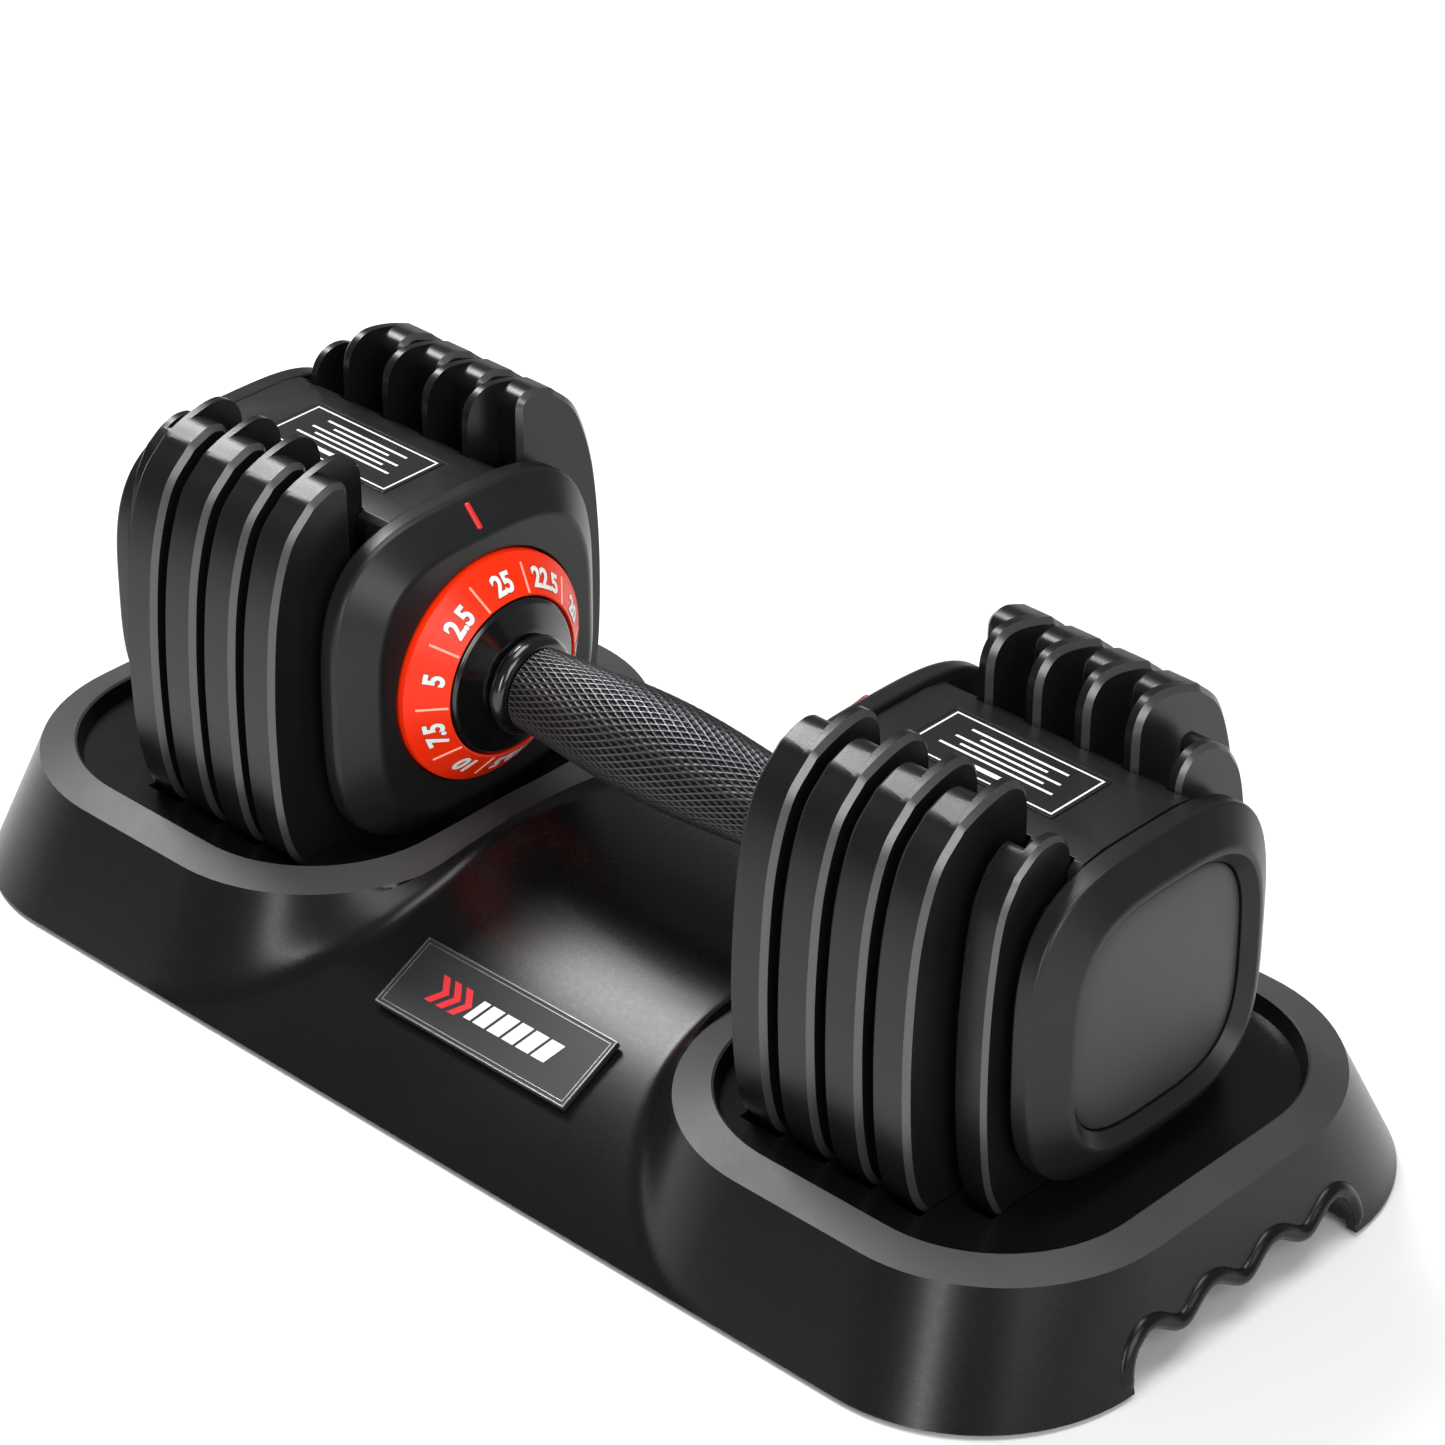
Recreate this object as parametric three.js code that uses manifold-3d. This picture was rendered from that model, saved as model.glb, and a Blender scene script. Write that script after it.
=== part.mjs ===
// Adjustable dumbbell on its storage tray: twist-handle selector, five plates a side, one lock in each head.
// Millimetres, +X along the handle, +Y to the back, +Z up, origin on the floor under the middle of the tray.
import * as THREE from "three";
import { mergeVertices } from "three/addons/utils/BufferGeometryUtils.js";
import Module from "manifold-3d";

const wasm = await Module();
wasm.setup();

// ---- driving dimensions ----
const axisHeight = 84; // handle axis above the floor
const gap = 0.3; // clearance between touching pieces
const settings = 10; // clicks in one turn of the handle

const gripLength = 98;
const gripMiddleRadius = 15.7;
const gripEndRadius = 12.7;
const collarLength = 6.4;
const collarRadius = 15.4;
const hubConeLength = 4;
const hubRadius = 24.6;
const dialSlopeLength = 6.6;
const dialFaceRadius = 33.2;
const dialRimLength = 2;
const dialRadius = 35.8;

const coverFaceOffset = 1.4; // cover face behind the dial's rim
const coverFaceHalf = 42.3;
const coverHalf = 52.4;
const coverBevelLength = 9.2;
const coverDepth = 15.2;
const coverWall = 3;
const cornerPower = 3.3; // roundness of the covers' outline

const largeBody = 9; // thick layer of a large plate
const largeFin = 4; // thin layer of a large plate, away from the handle
const smallBody = 7.2;
const smallFin = 3.6;
const plateSpace = 3.8; // free space between two plates
const firstPlateSpace = 4.2; // between the inner cover and the first plate
const plateChamfer = 1.3;
const plateHalfWidth = 67;
const plateTop = 68;
const plateBottom = -59;
const smallHalfWidth = 53.4;
const smallTop = 58;
const slotHalfBody = 33.3;
const slotHalfFin = 21;
const lugHalfWidth = 5;
const lugBottomRadius = 25.2;
const lugTopRadius = 22;

const discRadius = 30;
const discRimInner = 26.5;
const discWeb = 2.6;
const shaftAcrossFlats = 12;
const shaftClearance = 0.4718; // between the hex shaft's corners and the round bores it passes
const bearingRadius = shaftAcrossFlats / Math.sqrt(3) + shaftClearance;
const shaftEndRadius = 5.4; // round journal at each end of the shaft
const bushWall = 4.4;

const bridgeTop = 50.3;
const bridgeHalfWidth = 24;
const bridgeSkin = 4;
const bridgeUnder = 33;
const dividerHalfWidth = 32.9;
const dividerTop = 40;
const labelLength = 53.4;
const labelWidth = 24.2;

const endCoverHalf = 48.5;
const endCoverLift = 2;
const endSideLength = 6.2;
const endBevelLength = 6.5;
const endRidgeHalf = 39;
const endPanelHalf = 34;
const endPanelDepth = 3.7;
const screwHeight = 27; // cover screws above the axis

const lockTravel = 5;
const wheelRadius = 20;
const wheelThickness = 3.6;
const frameTop = 29.5; // top of the lock slider's frame

const trayFoot = 1.5; // underside of the tray's wall above the floor
const trayHalfLength = 216;
const trayHalfWidth = 101.8;
const trayCorner = 55;
const rimHalfLength = 208.8;
const rimHalfWidth = 86;
const rimOuterHeight = 36.5;
const rimInnerHeight = 39.5;
const rimBand = 11;
const rimStart = 55.2; // inner end of each rim loop
const pocketFloor = 34;
const saddleTop = 39.5;
const trayWall = 3.2;
const cutoutWave = 26;
const cutoutHalf = 47;
const badgeLength = 75.6;
const badgeWidth = 24.8;
const badgeThickness = 2;

// ---- positions along the handle, measured from the middle ----
const gripEnd = gripLength / 2;
const collarEnd = gripEnd + gap + collarLength;
const hubEdge = collarEnd + hubConeLength;
const dialSlopeEnd = hubEdge + dialSlopeLength;
const dialRim = dialSlopeEnd + dialRimLength;
const coverFace = dialRim + coverFaceOffset;
const coverBack = coverFace + coverDepth;
const pitch = largeBody + largeFin + plateSpace;
const firstPlate = coverBack + firstPlateSpace;
const plateStart = (k) => firstPlate + k * pitch;
const smallStart = plateStart(4);
const smallEnd = smallStart + smallBody + smallFin;
const endWall = [smallEnd + 0.4, smallEnd + 3.6];
const endCoverStart = endWall[1] + gap;
const endRidge = endCoverStart + endSideLength + endBevelLength;
const panelFace = endRidge - endPanelDepth;
const panelBack = panelFace - 3;
const wheelStart = coverFace + 6.5;

// ---- solids ----
function solid(geometry) {
  const bare = new THREE.BufferGeometry();
  const source = geometry.index ? geometry.toNonIndexed() : geometry;
  bare.setAttribute("position", source.getAttribute("position"));
  const merged = mergeVertices(bare, 1e-4);
  const vertProperties = new Float32Array(merged.attributes.position.array);
  const triVerts = new Uint32Array(merged.index.array);
  let made = new wasm.Manifold(new wasm.Mesh({ numProp: 3, vertProperties, triVerts }));
  if (made.volume() < 0) {
    for (let i = 0; i < triVerts.length; i += 3) {
      const first = triVerts[i];
      triVerts[i] = triVerts[i + 1];
      triVerts[i + 1] = first;
    }
    made = new wasm.Manifold(new wasm.Mesh({ numProp: 3, vertProperties, triVerts }));
  }
  return made;
}

function geometryOf(made) {
  const mesh = made.getMesh();
  const positions = new Float32Array(mesh.numVert * 3);
  for (let i = 0; i < mesh.numVert; i++) {
    for (let c = 0; c < 3; c++) positions[3 * i + c] = mesh.vertProperties[mesh.numProp * i + c];
  }
  const indexed = new THREE.BufferGeometry();
  indexed.setAttribute("position", new THREE.BufferAttribute(positions, 3));
  indexed.setIndex(new THREE.BufferAttribute(new Uint32Array(mesh.triVerts), 1));
  const flat = indexed.toNonIndexed();
  flat.computeVertexNormals();
  return flat;
}

const union = (list) => list.reduce((sum, item) => sum.add(item));
const without = (whole, list) => list.reduce((rest, item) => rest.subtract(item), whole);

function block(x0, x1, y0, y1, z0, z1) {
  const box = new THREE.BoxGeometry(x1 - x0, y1 - y0, z1 - z0);
  box.translate((x0 + x1) / 2, (y0 + y1) / 2, (z0 + z1) / 2);
  return solid(box);
}

// Round or polygonal rod along X.
function rodX(x0, x1, radius, segments = 28, y = 0, z = 0) {
  const rod = new THREE.CylinderGeometry(radius, radius, x1 - x0, segments);
  rod.rotateZ(Math.PI / 2);
  rod.translate((x0 + x1) / 2, y, z);
  return solid(rod);
}

function rodZ(z0, z1, radius, segments, x, y) {
  const rod = new THREE.CylinderGeometry(radius, radius, z1 - z0, segments);
  rod.rotateX(Math.PI / 2);
  rod.translate(x, y, (z0 + z1) / 2);
  return solid(rod);
}

const shapeOf = (points) => new THREE.Shape(points.map(([a, b]) => new THREE.Vector2(a, b)));

// Turns a geometry built on (y, z) and extruded along the third axis so that it runs along X.
const alongX = (geometry) => {
  const place = geometry.getAttribute("position");
  for (let i = 0; i < place.count; i++) {
    place.setXYZ(i, place.getZ(i), place.getX(i), place.getY(i));
  }
  return geometry;
};

// The outline moved inwards by the same distance all round; it runs counter-clockwise or clockwise.
function inset(points, distance) {
  const area = THREE.ShapeUtils.area(points.map(([a, b]) => new THREE.Vector2(a, b)));
  const side = Math.sign(area) * distance;
  return points.map(([a, b], i) => {
    const [pa, pb] = points[(i + points.length - 1) % points.length];
    const [na, nb] = points[(i + 1) % points.length];
    const before = new THREE.Vector2(a - pa, b - pb).normalize();
    const after = new THREE.Vector2(na - a, nb - b).normalize();
    const scale = side / (1 + before.dot(after));
    return [a - (before.y + after.y) * scale, b + (before.x + after.x) * scale];
  });
}

// A (y, z) outline run along X.
function prismX(points, x0, x1) {
  const geometry = new THREE.ExtrudeGeometry(shapeOf(points), {
    depth: x1 - x0,
    bevelEnabled: false,
    curveSegments: 1,
  });
  geometry.translate(0, 0, x0);
  return solid(alongX(geometry));
}

// A loft through outlines of equal length. Each level is [position, outline].
function loft(levels) {
  const base = levels[0][1];
  const geometry = new THREE.ExtrudeGeometry(shapeOf(base), {
    depth: levels.length - 1,
    steps: levels.length - 1,
    bevelEnabled: false,
    curveSegments: 1,
  });
  const key = (a, b) => a.toFixed(3) + "," + b.toFixed(3);
  const index = new Map(base.map(([a, b], i) => [key(a, b), i]));
  const place = geometry.getAttribute("position");
  for (let i = 0; i < place.count; i++) {
    const [position, outline] = levels[Math.round(place.getZ(i))];
    const [a, b] = outline[index.get(key(place.getX(i), place.getY(i)))];
    place.setXYZ(i, a, b, position);
  }
  return geometry;
}

const loftX = (levels) => solid(alongX(loft(levels)));
const loftZ = (levels) => solid(loft(levels));

// A profile of [position along X, radius] spun about the handle axis.
function spin(profile, segments = 32) {
  const points = profile.map(([x, r]) => new THREE.Vector2(r, x));
  if (profile[0][1] > 0 || profile[profile.length - 1][1] > 0) points.push(points[0].clone());
  const lathe = new THREE.LatheGeometry(points, segments);
  lathe.rotateZ(-Math.PI / 2);
  return solid(lathe);
}

function squircle(half, centre = 0, count = 28) {
  return Array.from({ length: count }, (_, i) => {
    const turn = (2 * Math.PI * (i + 0.5)) / count;
    const reach = (v) => Math.sign(v) * Math.abs(v) ** (2 / cornerPower);
    return [half * reach(Math.cos(turn)), centre + half * reach(Math.sin(turn))];
  });
}

function roundedRectangle(centreX, halfX, halfY, radius, perCorner = 6) {
  const outline = [];
  for (let corner = 0; corner < 4; corner++) {
    const signX = corner === 0 || corner === 3 ? 1 : -1;
    const signY = corner < 2 ? 1 : -1;
    for (let k = 0; k <= perCorner; k++) {
      const turn = (Math.PI / 2) * (corner + k / perCorner);
      const x = centreX + signX * (halfX - radius) + radius * Math.cos(turn);
      outline.push([x, signY * (halfY - radius) + radius * Math.sin(turn)]);
    }
  }
  return outline;
}

const hexRadius = (acrossFlats) => acrossFlats / Math.sqrt(3);
const hexRod = (x0, x1, acrossFlats) => rodX(x0, x1, hexRadius(acrossFlats), 6);
const hexBore = (x0, x1) => hexRod(x0, x1, shaftAcrossFlats + 2 * gap);

// ---- the tree of nodes ----
const part = new THREE.Group();
part.name = "adjustable_dumbbell";

const finishes = {
  coatedPlate: { color: 0x1d1e20, roughness: 0.42, metalness: 0.55 },
  cover: { color: 0x202123, roughness: 0.45, metalness: 0.1 },
  tray: { color: 0x1b1b1d, roughness: 0.5, metalness: 0.05 },
  orange: { color: 0xff3a05, roughness: 0.35, metalness: 0 },
  red: { color: 0xe0342c, roughness: 0.4, metalness: 0 },
  steel: { color: 0x8d9197, roughness: 0.3, metalness: 0.9 },
  darkSteel: { color: 0x35373a, roughness: 0.38, metalness: 0.85 },
  gloss: { color: 0x111214, roughness: 0.15, metalness: 0.1 },
  nylon: { color: 0xb9bcb8, roughness: 0.5, metalness: 0 },
  rubber: { color: 0x141414, roughness: 0.9, metalness: 0 },
  panel: { color: 0x4a4c50, roughness: 0.5, metalness: 0.1 },
  print: { color: 0x2a2b2d, roughness: 0.4, metalness: 0 },
};

function node(name, made, finish, raised = true) {
  const mesh = new THREE.Mesh(geometryOf(made), new THREE.MeshStandardMaterial(finishes[finish]));
  mesh.name = name;
  if (raised) mesh.position.z = axisHeight;
  part.add(mesh);
}

// ---- plates ----
// Right half of a large plate's edge, from beside the horn down to the foot.
const plateEdge = [
  [48, 64.2],
  [57.5, 54.4],
  [63.6, 37],
  [plateHalfWidth - 0.7, 16],
  [plateHalfWidth, -8],
  [plateHalfWidth - 1.6, -32],
  [60.5, -48],
  [50, -56.6],
  [38, plateBottom],
];

// The same for the small plate.
const smallEdge = [
  [42.6, 53.4],
  [48.6, 43],
  [51.8, 26],
  [smallHalfWidth, 4],
  [smallHalfWidth - 0.4, -22],
  [smallHalfWidth - 3.4, -42],
  [42, -55.4],
  [31, plateBottom],
];

// A U-shaped outline: the outer edge on both sides and a slot with a round bottom.
function plateOutline(small, slotHalf, hornTop) {
  const right = [...hornTop, ...(small ? smallEdge : plateEdge)];
  const left = right.map(([y, z]) => [-y, z]).reverse();
  const slot = [];
  for (let k = 0; k <= 6; k++) {
    const turn = Math.PI + (Math.PI * k) / 6;
    slot.push([slotHalf * Math.cos(turn), slotHalf * Math.sin(turn)]);
  }
  return [...right, ...left, ...slot];
}

function plate(start, small) {
  const body = small ? smallBody : largeBody;
  const fin = small ? smallFin : largeFin;
  const top = small ? smallTop : plateTop;
  const bodyHorn = [
    [slotHalfBody, top - 3.5],
    [slotHalfBody + 1.3, top - 1.4],
    [slotHalfBody + 3.2, top - 1],
  ];
  const finHorn = [
    [slotHalfFin, top - 10],
    [slotHalfFin + 1.2, top - 4.5],
    [slotHalfFin + 4.2, top - 0.6],
    [slotHalfFin + 8.5, top + 1],
    [slotHalfFin + 15, top],
  ];
  const chamfer = small ? 0.9 : plateChamfer;
  const bodyOutline = plateOutline(small, slotHalfBody, bodyHorn);
  const finOutline = plateOutline(small, slotHalfFin, finHorn);
  const middle = start + body;
  const thick = loftX([
    [start, inset(bodyOutline, chamfer)],
    [start + chamfer, bodyOutline],
    [middle, bodyOutline],
  ]);
  const thin = loftX([
    [middle, finOutline],
    [middle + fin - chamfer, finOutline],
    [middle + fin, inset(finOutline, chamfer)],
  ]);
  const lugStart = start + discWeb + 1.6;
  const lugRange = [-lugBottomRadius, -lugTopRadius];
  const lug = block(lugStart, middle + 1.2, -lugHalfWidth, lugHalfWidth, ...lugRange);
  return union([thick, thin, lug]);
}

// ---- selector discs ----
const engaged = [
  [0, 1, 2, 3, 4, 5, 6, 7],
  [0, 1, 2, 3, 4, 5],
  [0, 1, 2, 3],
  [0, 1],
  [0, 2, 4, 6, 8],
];

// Setting k brings the sector that starts k clicks back to the bottom.
function sector(setting, x0, x1) {
  const step = (2 * Math.PI) / settings;
  const middle = -Math.PI / 2 - setting * step;
  const outline = [[0, 0]];
  for (let k = 0; k <= 2; k++) {
    const turn = middle + 1.02 * step * (k / 2 - 0.5);
    outline.push([(discRadius + 6) * Math.cos(turn), (discRadius + 6) * Math.sin(turn)]);
  }
  return prismX(outline, x0, x1);
}

function selectorDisc(start, body, which) {
  const x0 = start + 0.7;
  const x1 = start + body - 0.7;
  const webEnd = x0 + discWeb;
  const profile = [
    [x0, 3],
    [x0, discRadius],
    [x1, discRadius],
    [x1, discRimInner],
    [webEnd, discRimInner],
    [webEnd, 10.5],
    [x1, 10.5],
    [x1, 3],
  ];
  let disc = spin(profile, 20);
  for (let k = 0; k < settings; k++) {
    if (!engaged[which].includes(k)) {
      disc = disc.subtract(
        sector(k, webEnd - 0.2, x1 + 1).subtract(rodX(webEnd - 1, x1 + 2, discRimInner - 2, 10)),
      );
    }
  }
  return disc.add(rodX(x0, x1, 8, 8)).subtract(hexBore(x0 - 1, x1 + 1));
}

// ---- inner cover, index mark ----
function innerCover() {
  const bevelEnd = coverFace + coverBevelLength;
  const outer = loftX([
    [coverFace, squircle(coverFaceHalf)],
    [bevelEnd, squircle(coverHalf)],
    [coverBack, squircle(coverHalf)],
  ]);
  const cavityFront = coverFace + coverWall;
  const cavity = loftX([
    [cavityFront, squircle(coverFaceHalf - 3.5)],
    [bevelEnd + 1, squircle(coverHalf - coverWall - 5)],
    [coverBack + 1, squircle(coverHalf - coverWall - 5)],
  ]);
  const opening = rodX(coverFace - 1, cavityFront + 1, dialRadius + gap + 0.2, 30);
  const legSlot = block(wheelStart - 0.4, wheelStart + 4, -7.4, 7.4, -coverHalf - 2, -coverHalf + 12);
  return without(outer, [cavity, opening, legSlot, indexBar(gap)]);
}

function indexBar(extra) {
  const bevelRise = coverHalf - coverFaceHalf;
  const slope = Math.atan2(bevelRise, coverBevelLength);
  const bar = new THREE.CapsuleGeometry(0.95 + extra, 7, 2, 8);
  bar.rotateZ(-Math.PI / 2);
  bar.rotateY(-slope);
  bar.translate(coverFace + coverBevelLength / 2, 0, (coverFaceHalf + coverHalf) / 2 - 0.15);
  return solid(bar);
}

// ---- bridge between the covers ----
function bridge() {
  const under = bridgeTop - bridgeSkin;
  const inside = slotHalfFin - gap - 3.4;
  const edge = bridgeHalfWidth;
  const right = [
    [14, bridgeTop],
    [edge - 2.6, bridgeTop - 1.2],
    [edge - 0.6, bridgeTop - 2.6],
    [edge, bridgeTop - 4.6],
    [edge, bridgeTop - 9],
    [slotHalfFin - gap, bridgeTop - 9],
    [slotHalfFin - gap, bridgeUnder],
    [inside, bridgeUnder],
    [inside, under],
  ];
  const profile = [...right.map(([y, z]) => [-y, z]).reverse(), ...right];
  let beam = prismX(profile, coverBack + gap, endWall[1]);
  const finSlots = [0, 1, 2, 3].map((k) => {
    const fin = plateStart(k) + largeBody;
    return [fin - 0.5, fin + largeFin + 0.4];
  });
  finSlots.push([smallStart + smallBody - 0.5, smallEnd + 0.4]);
  for (const [x0, x1] of finSlots) {
    for (const side of [-1, 1]) {
      const from = side < 0 ? -bridgeHalfWidth - 1 : slotHalfFin - gap;
      const to = side < 0 ? -(slotHalfFin - gap) : bridgeHalfWidth + 1;
      beam = beam.subtract(block(x0, x1, from, to, 0, 80));
    }
  }
  const wall = [];
  for (let k = 0; k <= 6; k++) {
    const turn = Math.PI + (Math.PI * k) / 6;
    wall.push([dividerHalfWidth * Math.cos(turn), dividerHalfWidth * Math.sin(turn)]);
  }
  wall.push([dividerHalfWidth, dividerTop], [-dividerHalfWidth, dividerTop]);
  const dividers = [0, 1, 2, 3].map((k) => [plateStart(k + 1) - plateSpace + 0.4, plateStart(k + 1) - 0.4]);
  const walls = dividers.map(([x0, x1]) => prismX(wall, x0, x1));
  walls.push(prismX(wall, endWall[0], endWall[1]));
  const wallInside = wheelStart + wheelThickness + 1.6;
  const plug = wall.map(([y, z]) => [y, z > 0 ? 36 : z]);
  walls.push(prismX(plug, wallInside, firstPlate - 0.4));
  for (const side of [-1, 1]) {
    const rail = [side * 28.9, wheelStart - 1.2];
    walls.push(block(rail[1], wallInside + 1, rail[0] - 1.4, rail[0] + 1.4, -30, 33));
  }
  for (const side of [-1, 1]) {
    walls.push(rodX(endWall[0] - 4.5, endWall[0] + 1, 4.6, 8, side * 12, screwHeight));
  }
  const all = union([beam, ...walls]);
  const screwHoles = [-1, 1].map((side) => rodX(endWall[0] - 9, endWall[1] + 1, 2.3, 8, side * 12, screwHeight));
  const bore = rodX(wallInside - 1, endWall[0], bearingRadius, 12);
  const bushBore = rodX(endWall[0] - 0.1, endWall[1] + 1, shaftEndRadius + bushWall + 0.8, 16);
  const labelBed = block(...labelRange(0.3), -labelWidth / 2 - 0.3, labelWidth / 2 + 0.3, bridgeTop - 0.6, 60);
  return without(all, [bore, bushBore, labelBed, ...screwHoles]);
}

function labelRange(extra) {
  const middle = (coverBack + endWall[1]) / 2 - 2.4;
  return [middle - labelLength / 2 - extra, middle + labelLength / 2 + extra];
}

const label = () => block(...labelRange(0), -labelWidth / 2, labelWidth / 2, bridgeTop - 0.3, bridgeTop + 0.1);

// ---- end cover ----
function endCover() {
  const lift = endCoverLift;
  const ridgeLip = endRidge - 0.6;
  const outer = loftX([
    [endCoverStart, squircle(endCoverHalf, lift)],
    [endCoverStart + endSideLength, squircle(endCoverHalf, lift)],
    [ridgeLip, squircle(endRidgeHalf + 0.8, lift)],
    [endRidge, squircle(endRidgeHalf - 0.4, lift)],
  ]);
  const recess = loftX([
    [panelBack, squircle(endPanelHalf + gap, lift)],
    [panelFace + 0.2, squircle(endPanelHalf + gap, lift)],
    [endRidge + 0.5, squircle(endRidgeHalf - 1, lift)],
  ]);
  const nutRoom = rodX(endCoverStart - 1, endCoverStart + 5, 13, 16);
  const screwRooms = [-1, 1].flatMap((side) => [
    rodX(endCoverStart - 1, panelBack + 1, 2.3, 8, side * 12, screwHeight),
    rodX(panelBack - 2.9, panelBack + 1, 4.4, 12, side * 12, screwHeight),
  ]);
  return without(outer, [recess, nutRoom, ...screwRooms]);
}

function endPanel() {
  return loftX([
    [panelBack + gap, squircle(endPanelHalf, endCoverLift)],
    [panelFace - 0.5, squircle(endPanelHalf, endCoverLift)],
    [panelFace, squircle(endPanelHalf - 0.5, endCoverLift)],
  ]);
}

function coverScrew(side) {
  const at = [side * 12, screwHeight];
  const head = rodX(panelBack - 2.5, panelBack - 0.1, 4, 12, ...at);
  const shank = rodX(endWall[0] - 4, panelBack - 2.4, 2, 8, ...at);
  return head.add(shank).subtract(hexSocket(panelBack - 1.7, panelBack + 1, ...at));
}

function hexSocket(x0, x1, y, z) {
  return rodX(x0, x1, 1.9, 6, y, z);
}

// ---- turning pieces ----
function shaft() {
  const reach = endWall[0] - 0.6;
  const tail = endCoverStart + 4.2;
  return union([hexRod(-reach, reach, shaftAcrossFlats), rodX(-tail, tail, shaftEndRadius, 16)]);
}

function grip() {
  const outline = [];
  const steps = 8;
  for (let k = 0; k <= steps; k++) {
    const along = -1 + (2 * k) / steps;
    const swell = Math.cos((along * Math.PI) / 2) ** 1.4;
    outline.push([gripEnd * along, gripEndRadius + (gripMiddleRadius - gripEndRadius) * swell]);
  }
  return spin([[-gripEnd, bearingRadius], ...outline, [gripEnd, bearingRadius]], 24);
}

// Collar ring and flared hub in one piece.
function hub() {
  const ring = gripEnd + gap;
  const profile = [
    [ring, bearingRadius],
    [ring, collarRadius - 1.8],
    [ring + 1.6, collarRadius],
    [ring + 4.4, collarRadius],
    [ring + 5.8, collarRadius - 1.6],
    [collarEnd + 1, collarRadius + 1.4],
    [collarEnd + 2.4, collarRadius + 5.2],
    [hubEdge, hubRadius - gap],
    [dialRim + 3.4, hubRadius - gap],
    [dialRim + 3.4, bearingRadius],
  ];
  return spin(profile, 22);
}

function dial() {
  const back = dialRim + 4.2;
  const profile = [
    [hubEdge + 0.4, hubRadius],
    [hubEdge, hubRadius + 0.6],
    [dialSlopeEnd, dialFaceRadius],
    [dialRim, dialRadius],
    [back, dialRadius],
    [back, hubRadius],
  ];
  return spin(profile, 30);
}

function lockWheel() {
  let wheel = rodX(wheelStart, wheelStart + wheelThickness, wheelRadius, 20);
  for (let k = 0; k < settings; k++) {
    const notch = new THREE.BoxGeometry(wheelThickness + 2, 4.8, lockTravel + 2);
    notch.translate(wheelStart + wheelThickness / 2, 0, wheelRadius - lockTravel / 2 + 1 - 0.4);
    notch.rotateX((2 * Math.PI * k) / settings);
    wheel = wheel.subtract(solid(notch));
  }
  return wheel.subtract(hexBore(wheelStart - 1, wheelStart + wheelThickness + 1));
}

function lockNut() {
  const start = endWall[1] + 0.9;
  return rodX(start, start + 3.2, 9, 6).subtract(rodX(start - 1, start + 5, shaftEndRadius + gap, 16));
}

function endBush() {
  const bush = rodX(endWall[0] + 0.1, endWall[1], shaftEndRadius + gap + bushWall + 0.1, 16);
  return bush.subtract(rodX(endWall[0] - 1, endWall[1] + 1, shaftEndRadius + gap + 0.1, 16));
}

// ---- lock slider: a frame round the wheel with one tooth above it and a leg below ----
function lockSlider() {
  const x0 = wheelStart + 0.1;
  const x1 = x0 + 3.4;
  const frame = block(x0, x1, -27, 27, -31, frameTop);
  const window = block(x0 - 1, x1 + 1, -22.5, 22.5, -26.5, frameTop - 3.5);
  const tooth = block(x0, x1, -2, 2, wheelRadius + 0.6, frameTop - 3);
  const leg = block(x0, x1, -7, 7, -coverHalf, -30);
  return union([frame.subtract(window), tooth, leg]);
}

function lockSpring() {
  const turns = 4;
  const radius = 2.6;
  const perTurn = 7;
  const low = frameTop + gap + 0.5;
  const high = coverFaceHalf - 4.3;
  const points = [];
  for (let k = 0; k <= turns * perTurn; k++) {
    const turn = (2 * Math.PI * k) / perTurn;
    const height = low + ((high - low) * k) / (turns * perTurn);
    points.push(new THREE.Vector3(radius * Math.cos(turn), radius * Math.sin(turn), height));
  }
  const circle = [];
  for (let k = 0; k < 5; k++) {
    circle.push([0.45 * Math.cos((k * 2 * Math.PI) / 5), 0.45 * Math.sin((k * 2 * Math.PI) / 5)]);
  }
  const wire = new THREE.ExtrudeGeometry(shapeOf(circle), {
    extrudePath: new THREE.CatmullRomCurve3(points),
    steps: turns * perTurn,
    bevelEnabled: false,
    curveSegments: 1,
  });
  wire.translate(wheelStart + 1.8, 0, 0);
  return solid(wire);
}

// ---- one head; the other is its mirror image ----
const mirror = (made) => {
  const geometry = geometryOf(made);
  const place = geometry.getAttribute("position");
  for (let i = 0; i < place.count; i++) place.setX(i, -place.getX(i));
  return solid(geometry);
};

const head = [
  ["inner_cover", innerCover(), "cover"],
  ["index_mark", indexBar(0), "red"],
  ["bridge", bridge(), "cover"],
  ["label", label(), "print"],
  ["end_cover", endCover(), "cover"],
  ["end_panel", endPanel(), "panel"],
  ["cover_screw_front", coverScrew(-1), "steel"],
  ["cover_screw_back", coverScrew(1), "steel"],
  ["end_bush", endBush(), "nylon"],
  ["lock_spring", lockSpring(), "steel"],
  ["lock_slider", lockSlider(), "nylon"],
  ["lock_wheel", lockWheel(), "nylon"],
  ["lock_nut", lockNut(), "steel"],
  ["hub", hub(), "gloss"],
  ["dial", dial(), "orange"],
];
for (let k = 0; k < 4; k++) {
  head.push([`plate_${k + 1}`, plate(plateStart(k), false), "coatedPlate"]);
  head.push([`selector_${k + 1}`, selectorDisc(plateStart(k), largeBody, k), "nylon"]);
}
head.push(["plate_small", plate(smallStart, true), "coatedPlate"]);
head.push(["selector_small", selectorDisc(smallStart, smallBody, 4), "nylon"]);

for (const [name, made, finish] of head) {
  node(name + "_right", made, finish);
  node(name + "_left", mirror(made), finish);
}
node("drive_shaft", shaft(), "steel");
node("grip", grip(), "darkSteel");

// ---- tray ----
const saddleHeight = (y) => {
  const share = Math.min(1, Math.abs(y) / trayHalfWidth);
  return trayFoot + (saddleTop - trayFoot) * (1 - share * share);
};

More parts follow.
